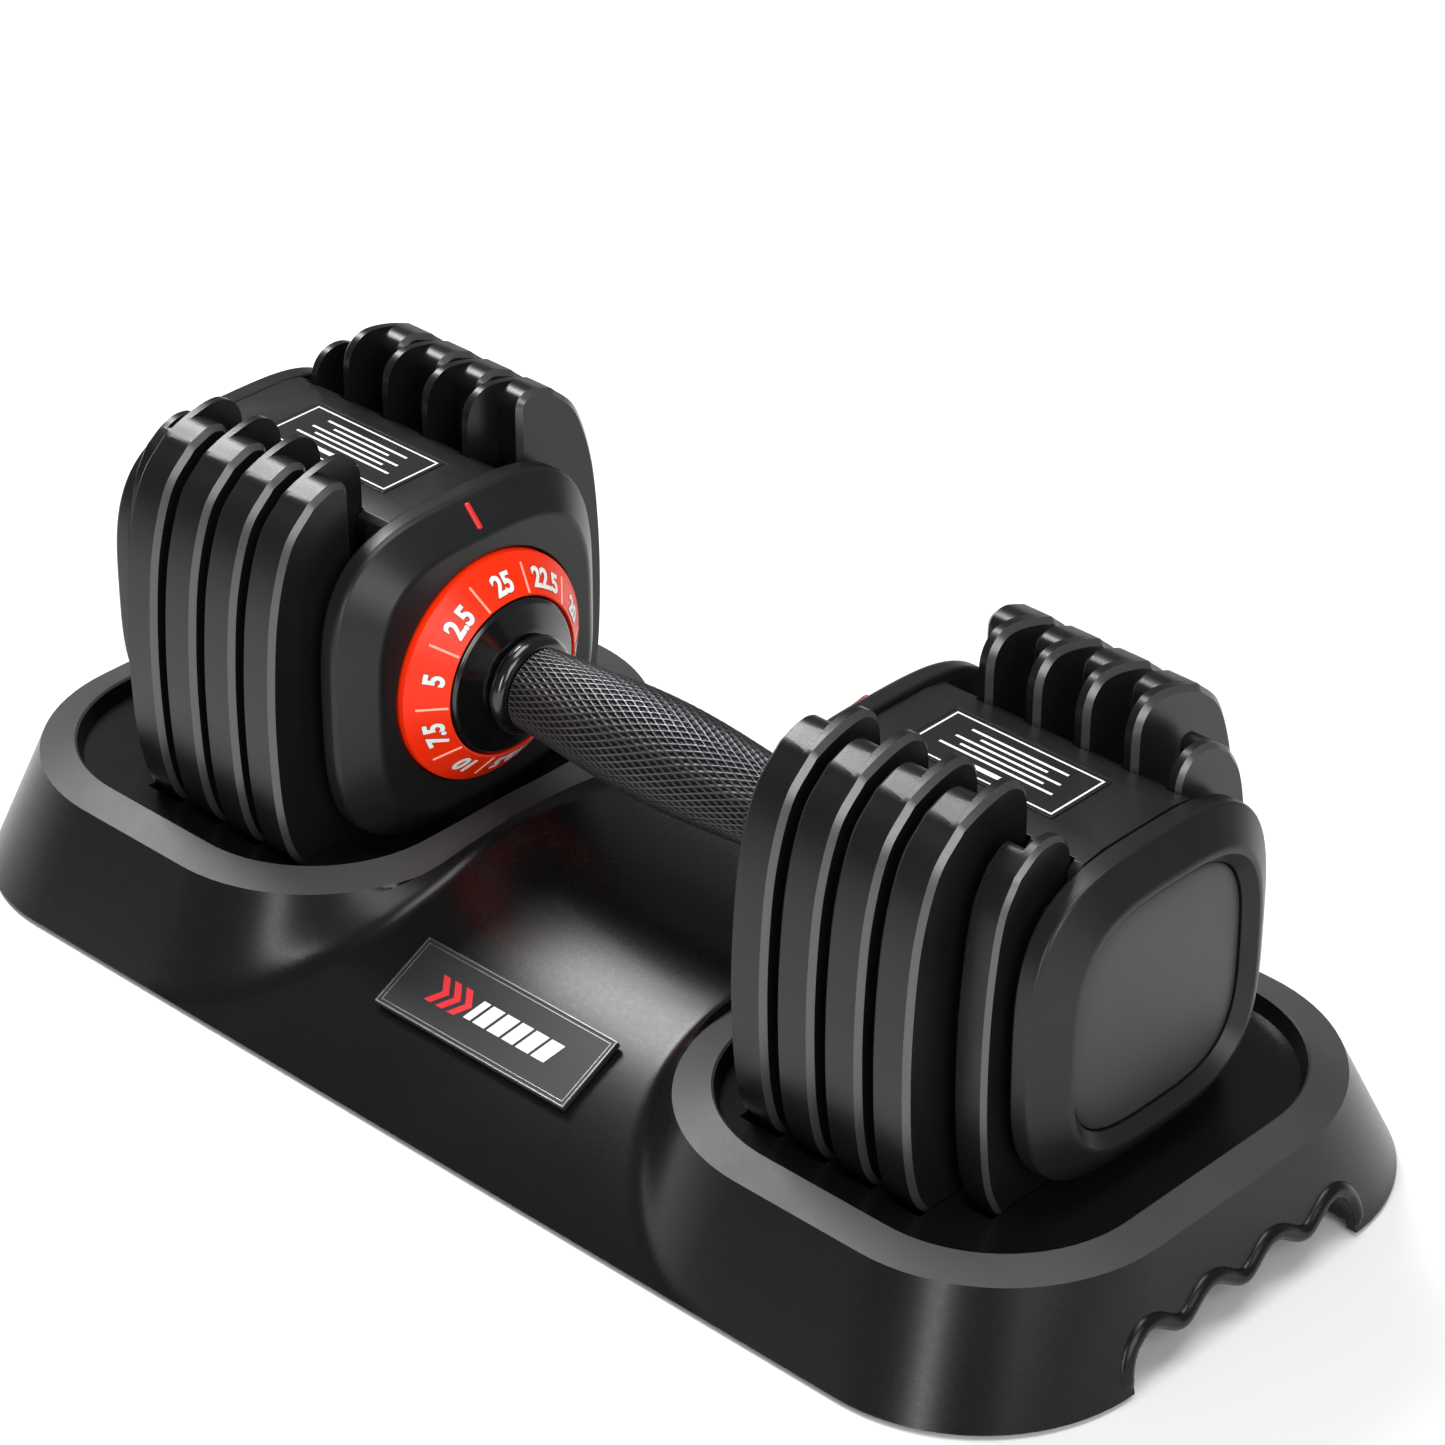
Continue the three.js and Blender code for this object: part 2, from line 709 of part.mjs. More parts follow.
function saddle(drop, halfLength) {
  const steps = 14;
  const half = trayHalfWidth - drop;
  const profile = [];
  for (let k = 0; k <= steps; k++) {
    const y = half - (2 * half * k) / steps;
    profile.push([y, Math.max(saddleHeight(y) - drop, trayFoot + 2.5 - drop * 0.5)]);
  }
  const low = drop > 0 ? -5 : trayFoot;
  return prismX([[-half, low], [half, low], ...profile], -halfLength, halfLength);
}

// One raised end; "drop" shrinks it to the hollow inside.
function raisedEnd(drop) {
  const foot = [(trayHalfLength + 45) / 2, (trayHalfLength - 45) / 2 - drop];
  const rim = [(rimHalfLength + rimStart) / 2, (rimHalfLength - rimStart) / 2 - drop];
  const radius = trayCorner - drop;
  const low = drop > 0 ? -5 : trayFoot;
  const footOutline = roundedRectangle(foot[0], foot[1], trayHalfWidth - drop, radius);
  const rimOutline = roundedRectangle(rim[0], rim[1], rimHalfWidth - drop, radius);
  if (drop > 0) {
    return loftZ([
      [low, footOutline],
      [trayFoot, footOutline],
      [pocketFloor - drop, rimOutline],
    ]);
  }
  const inner = roundedRectangle(rim[0], rim[1] - rimBand, rimHalfWidth - rimBand, radius - rimBand);
  return loftZ([
    [low, footOutline],
    [rimOuterHeight, rimOutline],
    [rimInnerHeight, inner],
  ]);
}

function pocket() {
  const centre = (rimHalfLength + rimStart) / 2;
  const halfX = (rimHalfLength - rimStart) / 2 - rimBand;
  const floor = roundedRectangle(centre, halfX - 2, rimHalfWidth - rimBand - 2, trayCorner - rimBand - 2);
  const mouth = roundedRectangle(centre, halfX, rimHalfWidth - rimBand, trayCorner - rimBand);
  return loftZ([
    [pocketFloor, floor],
    [rimInnerHeight, mouth],
    [rimInnerHeight + 20, mouth],
  ]);
}

const restHeight = axisHeight - coverHalf - gap; // ledge under the inner cover
const slotFloor = axisHeight + plateBottom - gap; // floor under the plates

function recess() {
  const ledge = block(coverFace - 3.2, firstPlate, -54.5, 54.5, restHeight, 60);
  const large = block(firstPlate - 1, smallStart, -68.5, 68.5, slotFloor, 60);
  const smallHalf = smallHalfWidth + 1.6;
  const small = block(smallStart - 2, smallEnd + 4, -smallHalf, smallHalf, slotFloor, 60);
  const ribs = [0, 1, 2, 3].map((k) => {
    const middle = plateStart(k + 1) - plateSpace / 2;
    return block(middle - 1.3, middle + 1.3, -70, 70, slotFloor - 1, slotFloor + 6);
  });
  return without(union([ledge, large, small]), ribs);
}

const cutoutTop = (y) => 13 - 2.8 * Math.cos((2 * Math.PI * y) / cutoutWave);

function cutoutOutline(grow) {
  const outline = [];
  const steps = 24;
  const half = cutoutHalf - 7;
  outline.push([cutoutHalf + grow, -5], [cutoutHalf + grow, 4], [cutoutHalf - 0.8 + grow, 9]);
  outline.push([cutoutHalf - 3.4 + grow * 0.8, 13.4 + grow * 0.6]);
  for (let k = 0; k <= steps; k++) {
    const y = half - (2 * half * k) / steps;
    outline.push([y, cutoutTop(y) + grow]);
  }
  outline.push([-cutoutHalf + 3.4 - grow * 0.8, 13.4 + grow * 0.6]);
  outline.push([-cutoutHalf + 0.8 - grow, 9], [-cutoutHalf - grow, 4], [-cutoutHalf - grow, -5]);
  return outline;
}

function cutout() {
  return prismX(cutoutOutline(0), trayHalfLength - 30, trayHalfLength + 20);
}

// Rounded bead that follows the wavy edge on the outside of the end wall.
function bead() {
  const outset = -1.6;
  const band = prismX(cutoutOutline(4.4), trayHalfLength - 14, trayHalfLength + 6);
  const level = [(trayHalfLength + 45) / 2, (trayHalfLength - 45) / 2 - outset];
  const rim = [(rimHalfLength + rimStart) / 2, (rimHalfLength - rimStart) / 2 - outset];
  const skin = loftZ([
    [trayFoot, roundedRectangle(level[0], level[1], trayHalfWidth, trayCorner)],
    [rimOuterHeight, roundedRectangle(rim[0], rim[1], rimHalfWidth, trayCorner)],
  ]);
  return band.intersect(skin).subtract(prismX(cutoutOutline(0), 0, trayHalfLength + 30));
}

const feet = [
  [172, 78],
  [172, -78],
  [-172, 78],
  [-172, -78],
];

const badgeSlope = Math.atan((2 * (saddleTop - trayFoot) * 67.4) / trayHalfWidth ** 2);
const badgeCentre = [0, -67.4, saddleHeight(67.4) + 2.7];

function badgeBlock(length, width, low, high) {
  const box = new THREE.BoxGeometry(length, width, high - low);
  box.translate(0, 0, (low + high) / 2);
  box.rotateX(badgeSlope);
  box.translate(...badgeCentre);
  return solid(box);
}

function tray() {
  const ends = raisedEnd(0);
  const edge = bead();
  let body = union([saddle(0, 90), ends, mirror(ends), edge, mirror(edge)]);
  body = body.add(badgeBlock(badgeLength - 5, badgeWidth - 5, -9, -badgeThickness - gap));
  const well = pocket().add(recess());
  const open = cutout();
  body = without(body, [well, mirror(well), open, mirror(open)]);

  const skinUnderSlots = [-54.5 - trayWall, 54.5 + trayWall];
  const slotSkin = union([
    block(coverFace - 6.6, firstPlate + 1, ...skinUnderSlots, restHeight - trayWall, 70),
    block(firstPlate - 1 - trayWall, smallStart + trayWall, -71.7, 71.7, slotFloor - trayWall, 70),
    block(smallStart, smallEnd + 4 + trayWall, -58.4, 58.4, slotFloor - trayWall, 70),
  ]);
  const endHollow = raisedEnd(trayWall).subtract(slotSkin);
  let hollow = union([saddle(trayWall, 66), endHollow, mirror(endHollow)]);
  hollow = hollow.subtract(slotSkin).subtract(mirror(slotSkin));
  const bosses = feet.map(([x, y]) => rodZ(trayFoot, pocketFloor, 10.5, 16, x, y));
  const ribs = [-36, 36].map((y) => block(-70, 70, y - 1.3, y + 1.3, 8, 60));
  hollow = without(hollow, [...bosses, ...ribs]);
  const seats = feet.map(([x, y]) => rodZ(-1, trayFoot + 3.3, 8.3, 16, x, y));
  return without(body, [hollow, ...seats]);
}

node("tray", tray(), "tray", false);
node("badge", badgeBlock(badgeLength, badgeWidth, -badgeThickness, 0), "print", false);
const footNames = ["foot_right_back", "foot_right_front", "foot_left_back", "foot_left_front"];
feet.forEach(([x, y], i) => node(footNames[i], rodZ(0, trayFoot + 3, 8, 16, x, y), "rubber", false));

export default part;
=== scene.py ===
"""Looks of an adjustable dumbbell resting on its moulded storage tray.

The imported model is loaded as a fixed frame. Each sub-assembly below is a class that reads its place from
the frame's boxes, builds its visible pieces over it and gives them their finishes. Sizes are in millimetres
and are turned to metres where a vertex is placed. +X runs along the handle, -Y is the front with the badge,
and +Z is up.
"""

import logging
import math
from collections.abc import Callable, Sequence
from dataclasses import dataclass, field
from enum import Enum

import bpy
import numpy as np
from mathutils import Matrix, Vector


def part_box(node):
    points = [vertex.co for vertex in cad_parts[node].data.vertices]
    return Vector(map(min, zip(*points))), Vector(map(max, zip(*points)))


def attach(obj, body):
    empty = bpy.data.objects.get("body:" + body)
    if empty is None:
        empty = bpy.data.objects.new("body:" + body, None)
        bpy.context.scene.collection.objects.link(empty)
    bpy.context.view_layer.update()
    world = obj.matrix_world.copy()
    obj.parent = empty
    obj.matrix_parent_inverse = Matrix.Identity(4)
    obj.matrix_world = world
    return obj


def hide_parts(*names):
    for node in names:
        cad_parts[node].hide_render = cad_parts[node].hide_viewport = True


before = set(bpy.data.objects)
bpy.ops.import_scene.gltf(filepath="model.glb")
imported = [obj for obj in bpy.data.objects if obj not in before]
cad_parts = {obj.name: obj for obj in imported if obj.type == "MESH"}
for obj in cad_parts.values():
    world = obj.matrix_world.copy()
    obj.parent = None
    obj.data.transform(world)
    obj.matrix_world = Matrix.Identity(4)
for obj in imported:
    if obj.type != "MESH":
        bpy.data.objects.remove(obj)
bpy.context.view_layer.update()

LOG = logging.getLogger("dumbbell")
MM = 0.001
Point2 = tuple[float, float]
Point3 = tuple[float, float, float]
Outline = list[Point2]
Piece = bpy.types.Object


class Side(Enum):
    """The two heads of the dumbbell, with the sign of their place along X."""

    RIGHT = 1
    LEFT = -1

    @property
    def tag(self) -> str:
        """Ending of the names of this side's pieces."""
        return self.name.lower()


@dataclass(frozen=True)
class Extent:
    """Box of a node of the frame, in millimetres."""

    low: Vector
    high: Vector

    @classmethod
    def of(cls, node: str) -> "Extent":
        """Reads the box of one node.

        Args:
            node: name of the node.

        Returns:
            Its box.
        """
        low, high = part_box(node)
        return cls(low / MM, high / MM)

    @property
    def centre(self) -> Vector:
        """Middle of the box."""
        return (self.low + self.high) / 2

    @property
    def size(self) -> Vector:
        """Side lengths of the box."""
        return self.high - self.low


AXIS = Extent.of("grip").centre.z


# ---------------------------------------------------------------- outlines


def curve_through(points: Sequence[Point2], step: float = 1.5) -> Outline:
    """Smooth open curve through the points, ends included.

    Args:
        points: the points to pass through.
        step: wanted distance between samples.

    Returns:
        The samples, first and last point included.
    """
    spots = [Vector(p) for p in points]
    spots = [2 * spots[0] - spots[1], *spots, 2 * spots[-1] - spots[-2]]
    out: Outline = []
    for a, b, c, d in zip(spots, spots[1:], spots[2:], spots[3:]):
        count = max(2, round((c - b).length / step))
        for k in range(count):
            t = k / count
            spot = 0.5 * (
                2 * b
                + (c - a) * t
                + (2 * a - 5 * b + 4 * c - d) * t**2
                + (3 * b - a - 3 * c + d) * t**3
            )
            out.append((spot.x, spot.y))
    out.append(tuple(points[-1]))
    return out


def arc(centre: Point2, radius: float, start: float, end: float, count: int) -> Outline:
    """Points on a circle's arc, both ends included.

    Args:
        centre: centre of the circle.
        radius: its radius.
        start: first angle in degrees.
        end: last angle in degrees.
        count: number of steps.

    Returns:
        The points.
    """
    turns = [math.radians(start + (end - start) * k / count) for k in range(count + 1)]
    return [(centre[0] + radius * math.cos(t), centre[1] + radius * math.sin(t)) for t in turns]


def evenly(points: Sequence[Point2], count: int) -> Outline:
    """Closed outline resampled at equal distances.

    Args:
        points: the closed outline.
        count: wanted number of points.

    Returns:
        The new points.
    """
    loop = np.array([*points, points[0]])
    reach = np.concatenate([[0], np.cumsum(np.linalg.norm(np.diff(loop, axis=0), axis=1))])
    at = np.arange(count) * reach[-1] / count
    return list(zip(np.interp(at, reach, loop[:, 0]), np.interp(at, reach, loop[:, 1])))


def squircle(half: float, centre: float = 0.0, count: int = 120, power: float = 3.3) -> Outline:
    """Rounded square of the heads' covers, as (y, z) about the handle axis.

    Args:
        half: half of its width.
        centre: height of its middle above the handle axis.
        count: number of points.
        power: how square it is.

    Returns:
        The outline in the frame's y and z.
    """
    fine: Outline = []
    for k in range(1440):
        turn = math.tau * k / 1440
        c, s = math.cos(turn), math.sin(turn)
        fine.append(
            (
                half * math.copysign(abs(c) ** (2 / power), c),
                AXIS + centre + half * math.copysign(abs(s) ** (2 / power), s),
            )
        )
    return evenly(fine, count)


# ---------------------------------------------------------------- workbench


def clear() -> None:
    """Leaves edit mode and deselects everything."""
    if bpy.context.mode != "OBJECT":
        bpy.ops.object.mode_set(mode="OBJECT")
    bpy.ops.object.select_all(action="DESELECT")


def pick(piece: Piece) -> None:
    """Makes the piece the only selected and active object.

    Args:
        piece: the piece to pick.
    """
    clear()
    piece.select_set(True)
    bpy.context.view_layer.objects.active = piece


def edit(piece: Piece) -> None:
    """Opens the piece in edit mode with all of it selected.

    Args:
        piece: the piece to open.
    """
    pick(piece)
    bpy.ops.object.mode_set(mode="EDIT")
    bpy.ops.mesh.select_all(action="SELECT")


def select_open_edges(piece: Piece) -> None:
    """Opens the piece in edit mode with only its open edges selected.

    Args:
        piece: the piece to open.
    """
    edit(piece)
    bpy.ops.mesh.select_all(action="DESELECT")
    bpy.ops.mesh.select_mode(type="EDGE")
    bpy.ops.mesh.select_non_manifold(extend=False)


def close(piece: Piece, merge: float = 0.002) -> None:
    """Merges doubles, points the faces outwards and leaves edit mode.

    Args:
        piece: the piece to clean.
        merge: distance under which points become one, in millimetres.
    """
    edit(piece)
    bpy.ops.mesh.remove_doubles(threshold=merge * MM)
    bpy.ops.mesh.normals_make_consistent(inside=False)
    bpy.ops.object.mode_set(mode="OBJECT")


def named(piece: Piece, name: str) -> Piece:
    """Names an object and its mesh.

    Args:
        piece: the piece to name.
        name: its new name.

    Returns:
        The same piece.
    """
    piece.name = name
    piece.data.name = name
    return piece


def ring(name: str, places: Sequence[Vector | Point3], filled: bool = True) -> Piece:
    """A circle primitive whose points are moved to the given places.

    Args:
        name: name of the new piece.
        places: places of the points in order, in millimetres.
        filled: whether the ring is a face.

    Returns:
        The new piece, in object mode.
    """
    clear()
    bpy.ops.mesh.primitive_circle_add(
        vertices=len(places), radius=0.05, fill_type="NGON" if filled else "NOTHING"
    )
    piece = named(bpy.context.object, name)
    for vertex, place in zip(piece.data.vertices, places):
        vertex.co = Vector(place) * MM
    return piece


def slab(name: str, outline: Outline, start: float, end: float) -> Piece:
    """A (y, z) outline extruded along X.

    Args:
        name: name of the new piece.
        outline: the outline in the frame's y and z.
        start: first place along X.
        end: last place along X.

    Returns:
        The closed piece.
    """
    piece = ring(name, [(start, y, z) for y, z in outline])
    edit(piece)
    bpy.ops.mesh.extrude_region_move(TRANSFORM_OT_translate={"value": ((end - start) * MM, 0, 0)})
    close(piece)
    return piece


def loft(name: str, outline: Outline, levels: Sequence[Point2], centre: float = 0.0) -> Piece:
    """An outline extruded along X level by level, resized at each.

    Args:
        name: name of the new piece.
        outline: the outline at scale one, in the frame's y and z.
        levels: pairs of place along X and scale.
        centre: height of the outline's middle above the handle axis.

    Returns:
        The closed piece.
    """
    pivot = (0.0, 0.0, (AXIS + centre) * MM)
    x, scale = levels[0]
    places = [(x, y * scale, pivot[2] / MM + (z - pivot[2] / MM) * scale) for y, z in outline]
    piece = ring(name, places)
    edit(piece)
    for place, share in levels[1:]:
        bpy.ops.mesh.extrude_region_move(TRANSFORM_OT_translate={"value": ((place - x) * MM, 0, 0)})
        factor = share / scale
        bpy.ops.transform.resize(value=(1, factor, factor), center_override=pivot)
        x, scale = place, share
    close(piece)
    return piece


def spun(name: str, profile: Sequence[Point2], steps: int = 96) -> Piece:
    """A closed section turned about the handle axis.

    Args:
        name: name of the new piece.
        profile: the section, as places along X and radii.
        steps: number of steps in the turn.

    Returns:
        The closed ring.
    """
    piece = ring(name, [(x, 0, AXIS + r) for x, r in profile], filled=False)
    edit(piece)
    bpy.ops.mesh.spin(steps=steps, angle=math.tau, center=(0, 0, AXIS * MM), axis=(1, 0, 0))
    close(piece)
    return piece


def woven(
    name: str,
    columns: int,
    rows: int,
    place: Callable[[int, int], Point3],
    second: range = range(0),
) -> Piece:
    """A grid primitive whose points are moved by a rule.

    Args:
        name: name of the new piece.
        columns: number of faces one way.
        rows: number of faces the other way.
        place: gives a point's place in millimetres from its column and row.
        second: rows of faces that take the second material slot.

    Returns:
        The new piece with its doubles merged.
    """
    clear()
    bpy.ops.mesh.primitive_grid_add(x_subdivisions=columns, y_subdivisions=rows, size=1)
    piece = named(bpy.context.object, name)
    if second:
        # The band rows take the rim's finish, a mid grey painted as a sheen.
        dress(piece, TRAY_SHELL, TRAY_BAND_PAINTED_SHEEN)
        for face in piece.data.polygons:
            face.material_index = int(math.floor((face.center.y + 0.5) * rows) in second)
    for vertex in piece.data.vertices:
        column = round((vertex.co.x + 0.5) * columns)
        row = round((vertex.co.y + 0.5) * rows)
        vertex.co = Vector(place(column, row)) * MM
    close(piece)
    return piece


def cuboid(name: str, x: Point2, y: Point2, z: Point2) -> Piece:
    """A block between the given limits, for cutting and joining.

    Args:
        name: name of the new piece.
        x: least and greatest place along X, in millimetres.
        y: the same across.
        z: the same in height.

    Returns:
        The block.
    """
    clear()
    centre = Vector((sum(x), sum(y), sum(z))) / 2 * MM
    bpy.ops.mesh.primitive_cube_add(size=1, location=centre)
    piece = named(bpy.context.object, name)
    piece.scale = ((x[1] - x[0]) * MM, (y[1] - y[0]) * MM, (z[1] - z[0]) * MM)
    bpy.ops.object.transform_apply(location=True, rotation=True, scale=True)
    return piece


def apply(piece: Piece, kind: str, **settings: object) -> None:
    """Adds a modifier with its settings and applies it at once.

    Args:
        piece: the piece to change.
        kind: the modifier's type name.
        settings: attributes of the modifier.
    """
    pick(piece)
    modifier = piece.modifiers.new(kind.lower(), kind)
    for key, value in settings.items():
        setattr(modifier, key, value)
    bpy.ops.object.modifier_apply(modifier=modifier.name)


def bevel(piece: Piece, width: float, segments: int = 2, angle: float = 30, material: int = -1) -> None:
    """Rounds the edges that are sharper than an angle.

    Args:
        piece: the piece to change.
        width: width of the bevel in millimetres.
        segments: faces across it.
        angle: least edge angle in degrees.
        material: material slot of the new faces, or -1 for the neighbours' one.
    """
    apply(
        piece,
        "BEVEL",
        width=width * MM,
        segments=segments,
        limit_method="ANGLE",
        angle_limit=math.radians(angle),
        material=material,
        use_clamp_overlap=True,
    )


def chamfer_faces(piece: Piece, places: Sequence[float], width: float) -> None:
    """Chamfers only the rims of the faces that lie at given places along X.

    Args:
        piece: the piece to change.
        places: places along X, in millimetres.
        width: width of the chamfer.
    """
    weights = piece.data.attributes.new("bevel_weight_edge", "FLOAT", "EDGE")
    for edge in piece.data.edges:
        ends = [piece.data.vertices[v].co.x / MM for v in edge.vertices]
        weights.data[edge.index].value = float(any(max(abs(x - p) for x in ends) < 0.01 for p in places))
    apply(
        piece,
        "BEVEL",
        width=width * MM,
        segments=1,
        limit_method="WEIGHT",
        material=1,
        use_clamp_overlap=True,
    )
    piece.data.attributes.remove(piece.data.attributes["bevel_weight_edge"])


def combine(piece: Piece, tools: Sequence[Piece], how: str = "DIFFERENCE") -> None:
    """Cuts, joins or crosses the piece with tools, which are used up.

    Args:
        piece: the piece to change.
        tools: the pieces that shape it.
        how: DIFFERENCE, UNION or INTERSECT.
    """
    for tool in tools:
        apply(piece, "BOOLEAN", object=tool, operation=how, solver="EXACT")
        bpy.data.objects.remove(tool)


def smooth(piece: Piece, angle: float = 32) -> None:
    """Shades the piece smooth, with its broad faces staying flat.

    Args:
        piece: the piece to shade.
        angle: edges sharper than this many degrees stay sharp.
    """
    pick(piece)
    bpy.ops.object.shade_smooth_by_angle(angle=math.radians(angle))
    weighted = piece.modifiers.new("weighted_normals", "WEIGHTED_NORMAL")
    weighted.keep_sharp = True
    weighted.weight = 80


def join(name: str, pieces: Sequence[Piece]) -> Piece:
    """Joins pieces into the first one and names it.

    Args:
        name: name of the joined piece.
        pieces: the pieces to join.

    Returns:
        The joined piece.
    """
    pick(pieces[0])
    for piece in pieces:
        piece.select_set(True)
    bpy.ops.object.join()
    return named(bpy.context.object, name)


def copied(piece: Piece, name: str, change: Matrix) -> Piece:
    """A copy with its own mesh, which is moved or turned over.

    Args:
        piece: the piece to copy.
        name: name of the copy.
        change: what is done to the copy's points.

    Returns:
        The copy.
    """
    other = piece.copy()
    other.data = piece.data.copy()
    bpy.context.scene.collection.objects.link(other)
    other.data.transform(change)
    return named(other, name)


def shifted(piece: Piece, name: str, shift: float) -> Piece:
    """A copy moved along X by some millimetres."""
    return copied(piece, name, Matrix.Translation((shift * MM, 0, 0)))


def mirrored(piece: Piece, name: str) -> Piece:
    """A copy on the other side of the middle.

    Args:
        piece: the piece to copy.
        name: name of the copy.

    Returns:
        The copy.
    """
    other = copied(piece, name, Matrix.Scale(-1, 4, (1, 0, 0)))
    other.data.flip_normals()
    return other


def settle(piece: Piece, body: str, nodes: Sequence[str] = ()) -> None:
    """Puts a finished piece on its body and says what it stands for.

    Args:
        piece: the finished piece.
        body: the body it rides on.
        nodes: the nodes of the frame it replaces.
    """
    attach(piece, body)
    if nodes:
        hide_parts(*nodes)
    LOG.info("%s: %d faces on %s", piece.name, len(piece.data.polygons), body)


# ---------------------------------------------------------------- finishes


def linear(colour: str) -> tuple[float, float, float, float]:
    """Turns an sRGB hex colour to linear light.

    Args:
        colour: the colour, such as #1c1d1f.

    Returns:
        Red, green, blue and alpha.
    """
    parts = [int(colour[k : k + 2], 16) / 255 for k in (1, 3, 5)]
    r, g, b = (p / 12.92 if p <= 0.04045 else ((p + 0.055) / 1.055) ** 2.4 for p in parts)
    return (r, g, b, 1.0)


def add_node(
    tree: bpy.types.NodeTree, kind: str, settings: dict[str, object] | None = None, **links: object
) -> bpy.types.Node:
    """Adds a shader node with its settings, input values and links.

    Args:
        tree: the material's node tree.
        kind: the node's type name.
        settings: attributes of the node.
        links: inputs by name, with underscores for spaces. An output socket is linked, and anything else
            is set as a value.

    Returns:
        The node.
    """
    node = tree.nodes.new(kind)
    for key, value in (settings or {}).items():
        setattr(node, key, value)
    for key, value in links.items():
        socket = node.inputs[key.replace("_", " ")]
        if isinstance(value, bpy.types.NodeSocket):
            tree.links.new(value, socket)
        else:
            socket.default_value = value
    return node


@dataclass(frozen=True)
class Finish:
    """A surface finish: two close colours in soft patches, uneven roughness and a fine grain in relief."""

    name: str
    colour: str
    patch_colour: str
    roughness: Point2
    metallic: float = 0.0
    ior: float = 1.5
    patch_mm: float = 22.0
    grain_mm: float = 0.6
    relief_mm: float = 0.01
    mirror: float = 0.5
    coat: float = 0.0
    coat_roughness: float = 0.1
    stretch: Point3 = (1.0, 1.0, 1.0)
    crest_colour: str = ""

    def material(self) -> bpy.types.Material:
        """Builds the material, or returns the one already built.

        Returns:
            The material of this finish.
        """
        if self.name in bpy.data.materials:
            return bpy.data.materials[self.name]
        made = bpy.data.materials.new(self.name)
        made.use_nodes = True
        tree = made.node_tree
        shader = tree.nodes["Principled BSDF"]
        place = add_node(tree, "ShaderNodeTexCoord").outputs["Object"]
        drawn = add_node(tree, "ShaderNodeMapping", Vector=place, Scale=self.stretch).outputs["Vector"]
        patches = add_node(
            tree,
            "ShaderNodeTexNoise",
            Vector=place,
            Scale=1 / (self.patch_mm * MM),
            Detail=3.0,
            Roughness=0.55,
        ).outputs["Fac"]
        grain = add_node(
            tree,
            "ShaderNodeTexNoise",
            Vector=drawn,
            Scale=1 / (self.grain_mm * MM),
            Detail=4.0,
            Roughness=0.6,
        ).outputs["Fac"]
        tone = add_node(tree, "ShaderNodeMix", {"data_type": "RGBA"}, Factor=patches)
        tone.inputs[6].default_value = linear(self.colour)
        tone.inputs[7].default_value = linear(self.patch_colour)
        shade = tone.outputs[2]
        # Painted highlight: the crest colour is mixed in where the crest attribute is high, on the crests that
        # catch the light.
        if self.crest_colour:
            crest = add_node(tree, "ShaderNodeAttribute", {"attribute_name": "crest"}).outputs["Fac"]
            crest_highlight_mix = add_node(tree, "ShaderNodeMix", {"data_type": "RGBA"}, Factor=crest)
            crest_highlight_mix.inputs[7].default_value = linear(self.crest_colour)
            tree.links.new(shade, crest_highlight_mix.inputs[6])
            shade = crest_highlight_mix.outputs[2]
        tree.links.new(shade, shader.inputs["Base Color"])
        both = add_node(tree, "ShaderNodeMath", {"operation": "ADD"})
        tree.links.new(patches, both.inputs[0])
        tree.links.new(grain, both.inputs[1])
        rough = add_node(
            tree,
            "ShaderNodeMapRange",
            Value=both.outputs[0],
            From_Min=0.7,
            From_Max=1.3,
            To_Min=self.roughness[0],
            To_Max=self.roughness[1],
        ).outputs["Result"]
        tree.links.new(rough, shader.inputs["Roughness"])
        relief = add_node(
            tree, "ShaderNodeBump", Height=grain, Distance=self.relief_mm * MM, Strength=1.0
        ).outputs["Normal"]
        tree.links.new(relief, shader.inputs["Normal"])
        shader.inputs["Metallic"].default_value = self.metallic
        shader.inputs["IOR"].default_value = self.ior
        shader.inputs["Specular IOR Level"].default_value = self.mirror
        shader.inputs["Coat Weight"].default_value = self.coat
        shader.inputs["Coat Roughness"].default_value = self.coat_roughness
        return made


# Steel plate with a satin powder coat: near black, with a fine orange-peel grain that sparkles in highlights.
POWDER_COAT = Finish(
    "steel_powder_coated", "#0e0f10", "#131416", (0.27, 0.36), mirror=0.36, grain_mm=0.5, relief_mm=0.02
)
# The same coat on the chamfers, smoother, and lighter in colour as a painted highlight where the edges catch
# the light.
CHAMFER_PAINTED_HIGHLIGHT = Finish(
    "steel_powder_coated_edge", "#2b2c2e", "#393a3d", (0.26, 0.36), mirror=1.0, grain_mm=0.8, relief_mm=0.004
)
# Glass-filled nylon, spark-eroded mould: soft satin black.
SATIN_NYLON = Finish(
    "nylon_moulded_satin", "#131415", "#18191b", (0.32, 0.42), mirror=0.36, grain_mm=0.45, relief_mm=0.006
)
# Polypropylene shell, polished mould: smoother, so it mirrors the heads faintly.
TRAY_SHELL = Finish(
    "polypropylene_moulded",
    "#0d0d0e",
    "#121213",
    (0.25, 0.30),
    mirror=0.26,
    grain_mm=1.4,
    relief_mm=0.0008,
    patch_mm=60,
)
# The tray's rim band, with a coarser texture; its mid grey is a painted sheen for the light that the band
# catches.
TRAY_BAND_PAINTED_SHEEN = Finish(
    "polypropylene_textured_band",
    "#38393b",
    "#3e4042",
    (0.42, 0.52),
    mirror=0.4,
    grain_mm=0.5,
    relief_mm=0.02,
)
# ABS insert of the end cover with a leather-fine texture: dark grey that stays matt.
GREY_INSERT = Finish(
    "abs_textured_grey", "#2c2e30", "#323437", (0.36, 0.46), mirror=0.4, grain_mm=0.5, relief_mm=0.008
)
